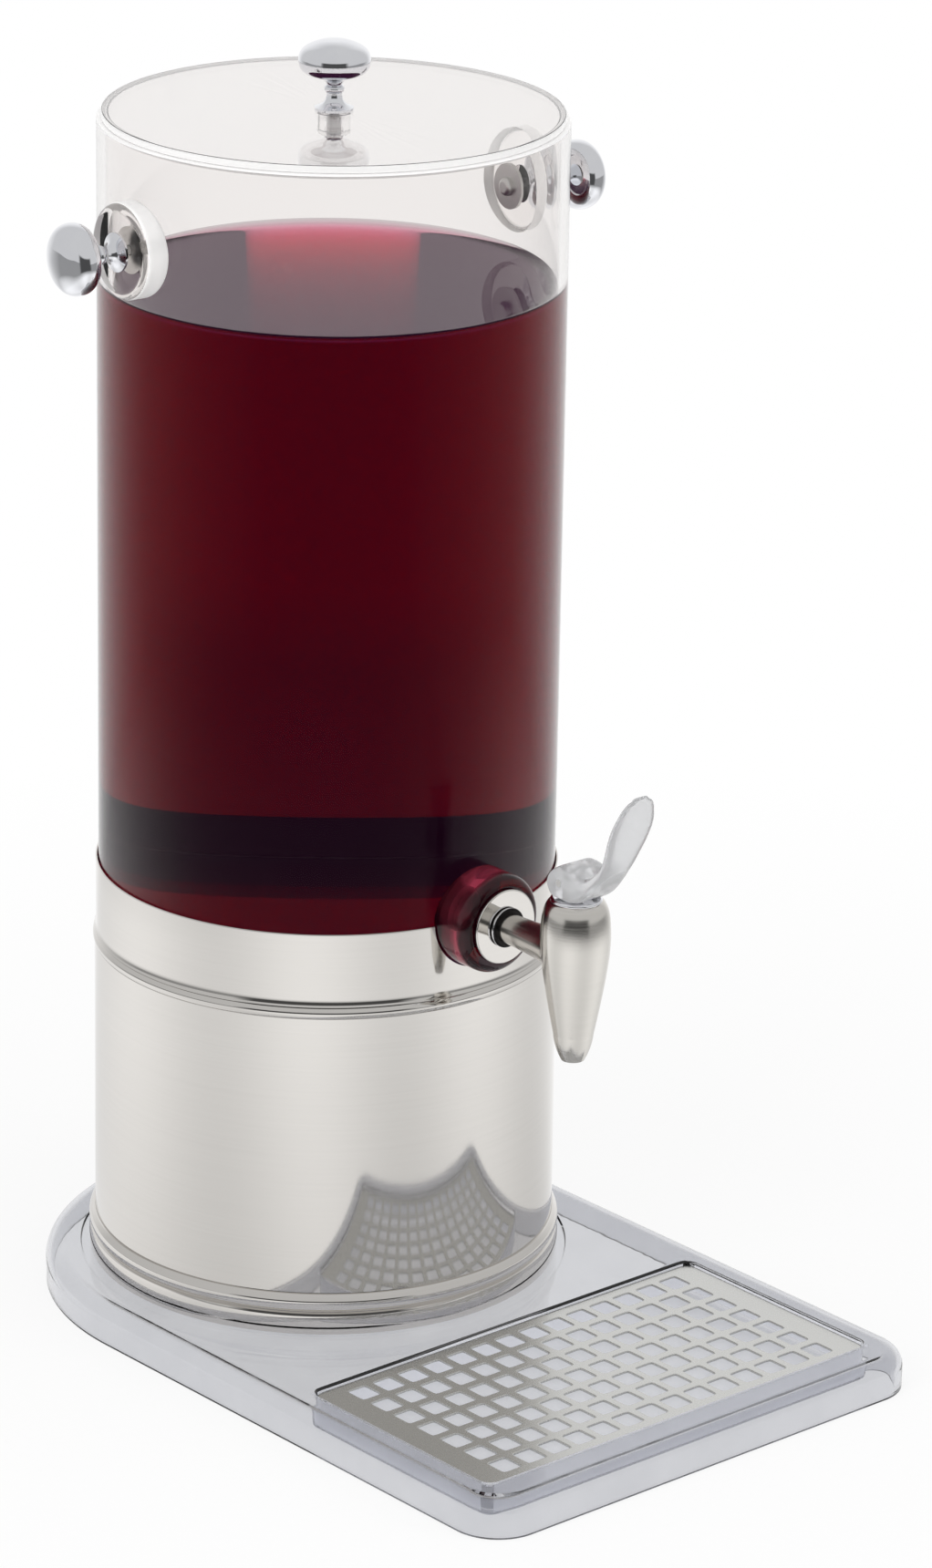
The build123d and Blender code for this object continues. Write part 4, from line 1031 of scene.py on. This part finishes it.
# %% Container cup
HANDLE_TURN = np.radians(-4.5)
GLUE_ROWS = 36
CLEAR_STEPS = 512
SAWN_DEPTH = 0.75
handle_low, handle_high = node_box("handle_boss_right")
boss_places = {  # the direction of the boss's axis, its height and its radius
    name: (turn, (low[2] + high[2]) / 2, (high[2] - low[2]) / 2)
    for name, turn, low, high in (
        ("tap", -np.pi / 2, tap_low, tap_high), ("right", HANDLE_TURN, handle_low, handle_high),
        ("left", np.pi + HANDLE_TURN, handle_low, handle_high))
}
glue_rows = [(TUBE_RADIUS, z, 0) for name in ("tap", "right")
             for z in np.linspace(-1, 1, GLUE_ROWS) * boss_places[name][2] + boss_places[name][1]]
cup_floor = node_box("container_floor")[1][2]
cup_foot, cup_rim = tube_low[2] + AIR, tube_high[2] - AIR
cup_outline = braced(rounded([
    (0, cup_foot, 0), (TUBE_RADIUS, cup_foot, 0.8), *glue_rows[1:], (TUBE_RADIUS, cup_rim, 0.7),
    (TUBE_BORE, cup_rim, 0.7), (TUBE_BORE, JUICE_Z, 0), (TUBE_BORE, cup_floor, 0.6), (0, cup_floor, 0)]))
cup = add_rows("acrylic_container", turned(cup_outline, CLEAR_STEPS), acrylic["clear"], "container",
               ["container_tube", "container_floor"])
x, y, height = face_places(cup)
out = np.hypot(x, y)
wetted = (out < TUBE_BORE + 0.2) & (height > cup_floor - 0.1) & (height < JUICE_Z)
for turn, middle_z, radius in boss_places.values():
    beside, ahead = y * np.cos(turn) - x * np.sin(turn), x * np.cos(turn) + y * np.sin(turn)
    wetted |= (out > TUBE_BORE + 1) & (ahead > 0) & (np.hypot(beside, height - middle_z) < radius - 0.3)
sawn = height > tube_high[2] - SAWN_DEPTH
finish_faces(cup, [acrylic["wet"], routed], np.where(sawn, 2, wetted))

# %% [markdown]
# ## Juice in the container
# The juice overlaps the wall and the floor by a seventh of a millimetre. Light then leaves the acrylic
# inside the juice, and no film of air shines between them. At the wall the surface climbs by about two
# millimetres: its height falls off as 1.9 exp(-d / 1.6), where d is the distance from the wall.

# %% Juice body
OVERLAP = 0.15
CLIMB_HEIGHT = 1.9
CLIMB_WIDTH = 9.0
CLIMB_FALL = 1.6
from_wall = CLIMB_WIDTH * np.linspace(0, 1, 14) ** 2
climb = CLIMB_HEIGHT * np.exp(-from_wall / CLIMB_FALL)
meniscus = np.stack([TUBE_BORE + OVERLAP - from_wall, JUICE_Z + climb], axis=-1)
juice_foot = cup_floor - OVERLAP
juice_outline = np.concatenate([
    braced(np.array([[0, juice_foot], [TUBE_BORE + OVERLAP, juice_foot], meniscus[0]])),
    meniscus[1:], [[0, JUICE_Z]]])
add_rows("red_juice", turned(juice_outline, CLEAR_STEPS), juice_finish, "container", [])

# %% [markdown]
# ## Lid
# Two clear discs glued together: a wide one that covers the rim, and a smaller one below that keeps it
# centred. Under them a clear spacer takes the screw of the knob.

# %% Lid and spacer
SPACER_STEPS = 96
lid_high = node_box("lid_disc")[1]
centring_low, centring_high = node_box("lid_centring_disc")
lid_top, step_z = lid_high[2] - AIR, centring_high[2] + AIR
lid_outline = braced(rounded([
    (0, centring_low[2], 0), (centring_high[0], centring_low[2], 0.5), (centring_high[0], step_z, 0.2),
    (lid_high[0], step_z, 0.6), (lid_high[0], lid_top, 0.8), (0, lid_top, 0)]))
lid = add_rows("acrylic_lid", turned(lid_outline, CLEAR_STEPS), acrylic["clear"], "lid",
               ["lid_disc", "lid_centring_disc"])
x, y, height = face_places(lid)
out = np.hypot(x, y)
at_rim = (out > lid_high[0] - 0.3) | ((out > centring_high[0] - 0.2) & (height < centring_high[2] - 0.3))
finish_faces(lid, [routed], at_rim)

spacer_low, spacer_high = node_box("lid_spacer")
spacer_foot, spacer_top = spacer_low[2] + AIR, spacer_high[2] - AIR
spacer_outline = braced(rounded([
    (0, spacer_foot, 0), (spacer_high[0], spacer_foot, 0.4), (spacer_high[0], spacer_top, 0.4),
    (0, spacer_top, 0)]))
add_rows("acrylic_spacer", turned(spacer_outline, SPACER_STEPS), acrylic["clear"], "lid",
         ["lid_spacer"])

# %% [markdown]
# ## Bosses
# The handles and the tap sit on clear round bosses whose backs are hollowed to the tube's curve and glued
# on. Each is a disc seen along its own axis: a flat face, a rounded edge, and a back that lies on a
# slightly smaller cylinder, so that boss and wall are one piece to the light.

# %% Bosses
BOSS_STEPS = 192
SIDE_ROWS = 6
BACK_ROWS = 24
GLUED_IN = 0.3  # how far the back lies inside the tube's wall
HANDLE_FACE = 109.5


def boss_rows(radius, face, edge, turn, height):
    """Rows of a round boss on the tube.

    A point at distance p from the boss's own axis and angle a round it lies p cos a to the side and p sin a
    up. The back is at sqrt(R squared - (p cos a) squared) from the drum's axis, R being just inside the
    tube's outer face.
    """
    angle = np.linspace(0, 2 * np.pi, BOSS_STEPS, endpoint=False)
    front = braced(rounded([(0, face, 0), (radius, face, edge), (radius, face - 1.6 * edge, 0)], steps=14))
    to_middle = np.linspace(radius, 0, BACK_ROWS)
    from_axis = np.concatenate([front[:, 0], np.full(SIDE_ROWS, radius), to_middle])[:, None]
    side, up = from_axis * np.cos(angle), from_axis * np.sin(angle)
    back = np.sqrt((TUBE_RADIUS - GLUED_IN) ** 2 - side**2)
    to_back = np.linspace(0, 1, SIDE_ROWS + 2)[1:-1]
    share = np.concatenate([np.zeros(len(front)), to_back, np.ones(BACK_ROWS)])[:, None]
    start = np.concatenate([front[:, 1], np.full(SIDE_ROWS + BACK_ROWS, front[-1, 1])])[:, None]
    out = start * (1 - share) + back * share
    x, y = out * np.cos(turn) - side * np.sin(turn), out * np.sin(turn) + side * np.cos(turn)
    return np.stack([x, AXIS_Y + y, height + up], axis=-1)


boss_forms = {  # how far the face is from the drum's axis, how round its edge is, and the solid it stands for
    "tap": (AXIS_Y - tap_low[1], 5.0, "tap_boss"),
    "left": (HANDLE_FACE, 3.5, "handle_boss_left"),
    "right": (HANDLE_FACE, 3.5, "handle_boss_right"),
}
for name, (face, edge, node) in boss_forms.items():
    turn, middle_z, radius = boss_places[name]
    rows = boss_rows(radius, face - AIR, edge, turn, middle_z)
    boss = add_rows(f"acrylic_boss_{name}", rows, acrylic["painted_red_light" if name == "tap" else "clear"], "container",
                    [node])
    x, y, height = face_places(boss)
    glued = np.hypot(x, y) < TUBE_RADIUS - 0.1
    from_axis = np.hypot(y * np.cos(turn) - x * np.sin(turn), height - middle_z)
    cut_side = ~glued & (from_axis > radius - 0.3) & (name != "tap")
    finish_faces(boss, [acrylic["wet"], routed], glued + 2 * cut_side)

# %% [markdown]
# ## Lever
# A forked hub on a cross pin, with a thin paddle that rises from it like a leaf. Its side view has an upper
# and a lower curve that run from the back of the hub to the tip. Between each pair of points lies one
# section: a square with very round corners, box-like at the hub and lens-like in the paddle. The fork and
# the pin's hole are cut afterwards.


# %% Lever curves
def spline(knots, stations, at):
    """Natural cubic through knots at stations, read at other places: second slopes M solve
    h0 M0 + 2 (h0 + h1) M1 + h1 M2 = 6 (rise1 - rise0), with none at the ends."""
    knots = np.array(knots, float)
    gap = np.diff(stations)
    slope = np.diff(knots, axis=0) / gap[:, None]
    system = np.eye(len(knots))
    inner = np.arange(1, len(knots) - 1)
    system[inner, inner - 1] = gap[:-1]
    system[inner, inner] = 2 * (gap[:-1] + gap[1:])
    system[inner, inner + 1] = gap[1:]
    right = np.zeros_like(knots)
    right[1:-1] = 6 * np.diff(slope, axis=0)
    bend = np.linalg.solve(system, right)
    piece = np.clip(np.searchsorted(stations, at, side="right") - 1, 0, len(gap) - 1)
    width, left = gap[piece][:, None], (at - stations[piece])[:, None]
    rest = width - left
    return ((bend[piece] * rest**3 + bend[piece + 1] * left**3) / (6 * width)
            + (knots[piece] / width - bend[piece] * width / 6) * rest
            + (knots[piece + 1] / width - bend[piece + 1] * width / 6) * left)


upper = [(-7, -1), (-6.7, 2.0), (-5.2, 4.7), (-2.8, 6.4), (0, 7), (5.5, 6.3), (11.5, 4.9), (16.5, 6.3),
         (21.2, 11.4), (25.0, 17.6), (29.4, 27.4), (33.4, 37.4), (36.3, 45.2), (37.3, 46.3)]
lower = [(-7, -1), (-6.9, -3.6), (-6.1, -6.2), (-4.2, -7.7), (0, -7.9), (5.7, -7.9), (12.0, -5.4),
         (18.0, 0.9), (24.4, 8.8), (28.7, 16.9), (32.8, 27.4), (36.0, 37.4), (38.3, 45.2), (37.7, 46.3)]
station = np.arange(len(upper), dtype=float)
hub_end, run, tip_end = np.linspace(0, 1, 9)[:-1], np.linspace(1, 12, 70)[:-1], np.linspace(1, 0, 40)
along = np.concatenate([hub_end**1.5, run, station[-1] - tip_end**2])  # close together at both ends
top_line, under_line = spline(upper, station, along), spline(lower, station, along)
print(len(along), "sections along the lever")

# %% [markdown]
# Each section is |u|^n + |v|^n = 1, stretched to the lever's width and thickness there. A large n gives a
# box with round edges and a small one a lens. Near the tip the width follows an arc.

# %% Lever
LEVER_STEPS = 96
TIP_POWER = 2.2
pin_low, pin_high = node_box("lever_pin")
pin_y, pin_z = (pin_low[1] + pin_high[1]) / 2, (pin_low[2] + pin_high[2]) / 2
centre, half = (top_line + under_line) / 2, (top_line - under_line) / 2
half_width = np.interp(centre[:, 1], [-0.5, 4.0, 9.4, 16, 24, 30.4], [10.45, 9.6, 8.6, 9.2, 10.9, 11.55])
tip = np.interp(along, [10.2, 11, 12, 13], [0, 0.5, 0.93, 1])
half_width = (half_width * np.sqrt(1 - tip**TIP_POWER))[:, None]
power = np.interp(along, [0, 5, 8, 13], [6.5, 6.5, 3.2, 2.6])[:, None]
turn = np.linspace(0, 2 * np.pi, LEVER_STEPS, endpoint=False)
across = np.sign(np.cos(turn)) * np.abs(np.cos(turn)) ** (2 / power)
over = np.sign(np.sin(turn)) * np.abs(np.sin(turn)) ** (2 / power)
lever_rows = np.stack([half_width * across, pin_y - centre[:, :1] - half[:, :1] * over,
                       pin_z + centre[:, 1:] + half[:, 1:] * over], axis=-1)
lever = add_rows("frosted_lever", lever_rows, frosted, "lever", ["tap_lever"])

# %% [markdown]
# The hub straddles the valve's flat tongue. The fork reaches further forward below the pin, because the
# tongue swings that way when the lever is pulled. A cross hole takes the pin.

# %% Fork and pin hole
FORK_HALF = 2.5
PIN_REACH = 12
PIN_STEPS = 48
fork_side = np.array([(6.0, -12.0), (6.0, 5.4), (-6.0, 5.4), (-6.0, -1.5), (-13.0, -1.5), (-13.0, -12.0)])
fork_rows = np.stack([
    np.column_stack([np.full(len(fork_side), x), fork_side + [pin_y, pin_z]])
    for x in (-FORK_HALF, FORK_HALF)])
fork_caps = [list(range(len(fork_side))), list(range(len(fork_side), 2 * len(fork_side)))]
cut_away(lever, fork_rows, row_faces(fork_rows).tolist() + fork_caps)
pin_radius = (pin_high[2] - pin_low[2]) / 2 + AIR
pin_turn = np.linspace(0, 2 * np.pi, PIN_STEPS, endpoint=False)
pin_ring = np.column_stack([np.cos(pin_turn), np.sin(pin_turn)])
pin_rows = np.stack([
    np.column_stack([np.full(PIN_STEPS, x), reach * pin_ring + [pin_y, pin_z]])
    for x, reach in ((-PIN_REACH, 0), (-PIN_REACH, pin_radius), (PIN_REACH, pin_radius), (PIN_REACH, 0))])
cut_away(lever, pin_rows, row_faces(pin_rows).tolist())

# %% [markdown]
# ## Return spring
# The spring stands between the stem's collar and the bonnet. When the stem rises its lower end goes along
# and its upper end stays, so the wire is drawn as a mesh that rides on neither body. It is a circle carried
# along a helix, at a right angle to its slope, and each end closes in a pole.

# %% Return spring
SPRING_WIRE = 0.5
SPRING_TURNS = 7
STEPS_PER_TURN = 48
WIRE_STEPS = 16
coil_low, coil_high = node_box("return_spring")
coil_x, coil_y, _ = (coil_low + coil_high) / 2
coil_radius = (coil_high[0] - coil_low[0]) / 2 - SPRING_WIRE
coil_rise = coil_high[2] - coil_low[2] - 2 * SPRING_WIRE
slope = np.arctan2(coil_rise, 2 * np.pi * SPRING_TURNS * coil_radius)
share = np.pad(np.linspace(0, 1, SPRING_TURNS * STEPS_PER_TURN + 1), 1, mode="edge")[:, None]
coil_turn = 2 * np.pi * SPRING_TURNS * share
wire_reach = np.full(share.shape, SPRING_WIRE)
wire_reach[[0, -1]] = 0
wire_turn = np.linspace(0, 2 * np.pi, WIRE_STEPS, endpoint=False)
outward = coil_radius + wire_reach * np.cos(wire_turn)
sideways = -wire_reach * np.sin(wire_turn) * np.sin(slope)
upward = coil_low[2] + SPRING_WIRE + coil_rise * share + wire_reach * np.sin(wire_turn) * np.cos(slope)
spring_rows = np.stack([
    coil_x + outward * np.cos(coil_turn) - sideways * np.sin(coil_turn),
    coil_y + outward * np.sin(coil_turn) + sideways * np.cos(coil_turn), upward], axis=-1)
spring = add_rows("coiled_spring", spring_rows, machined, None, ["return_spring"])
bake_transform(spring)

# %% [markdown]
# ## Finishes of the CAD pieces
# The other pieces keep their solids' shapes. Each gets the finish of its material, and the ferrule's two
# edges get a painted dark reflection beside its polished band.

# %% Finishes of the CAD pieces
BRIGHT_HALF = 0.5  # half the width of the ferrule's polished band
finish_of = {
    chrome: ["handle_knob_left", "handle_knob_right", "lid_knob", "tap_ferrule", "tap_bonnet"],
    polished: ["tap_flange"],
    buffed: ["tap_body", "spout_tip"],
    machined: ["drum_floor", "drum_nuts", "base_screws", "handle_washers", "handle_screws", "lid_screw",
               "tap_nut", "tap_shank", "valve_stem", "lever_pin"],
    silicone: ["seat_gasket", "bonnet_oring", "seat_cup"],
    painted_red_silicone: ["tap_outer_seal", "tap_inner_seal"],
    polythene: ["cold_pack", "pack_plug"],
}
for finish, nodes in finish_of.items():
    for node in nodes:
        frame["nodes"][node].material_slots[0].material = finish
print(sum(map(len, finish_of.values())), "CAD pieces finished")

# The ferrule's two edges get the painted dark reflection
ferrule = frame["nodes"]["tap_ferrule"]
ferrule_low, ferrule_high = node_box("tap_ferrule")
from_middle = np.abs(face_places(ferrule)[1] + AXIS_Y - (ferrule_low[1] + ferrule_high[1]) / 2)
finish_faces(ferrule, [painted_dark_reflection], from_middle > BRIGHT_HALF)
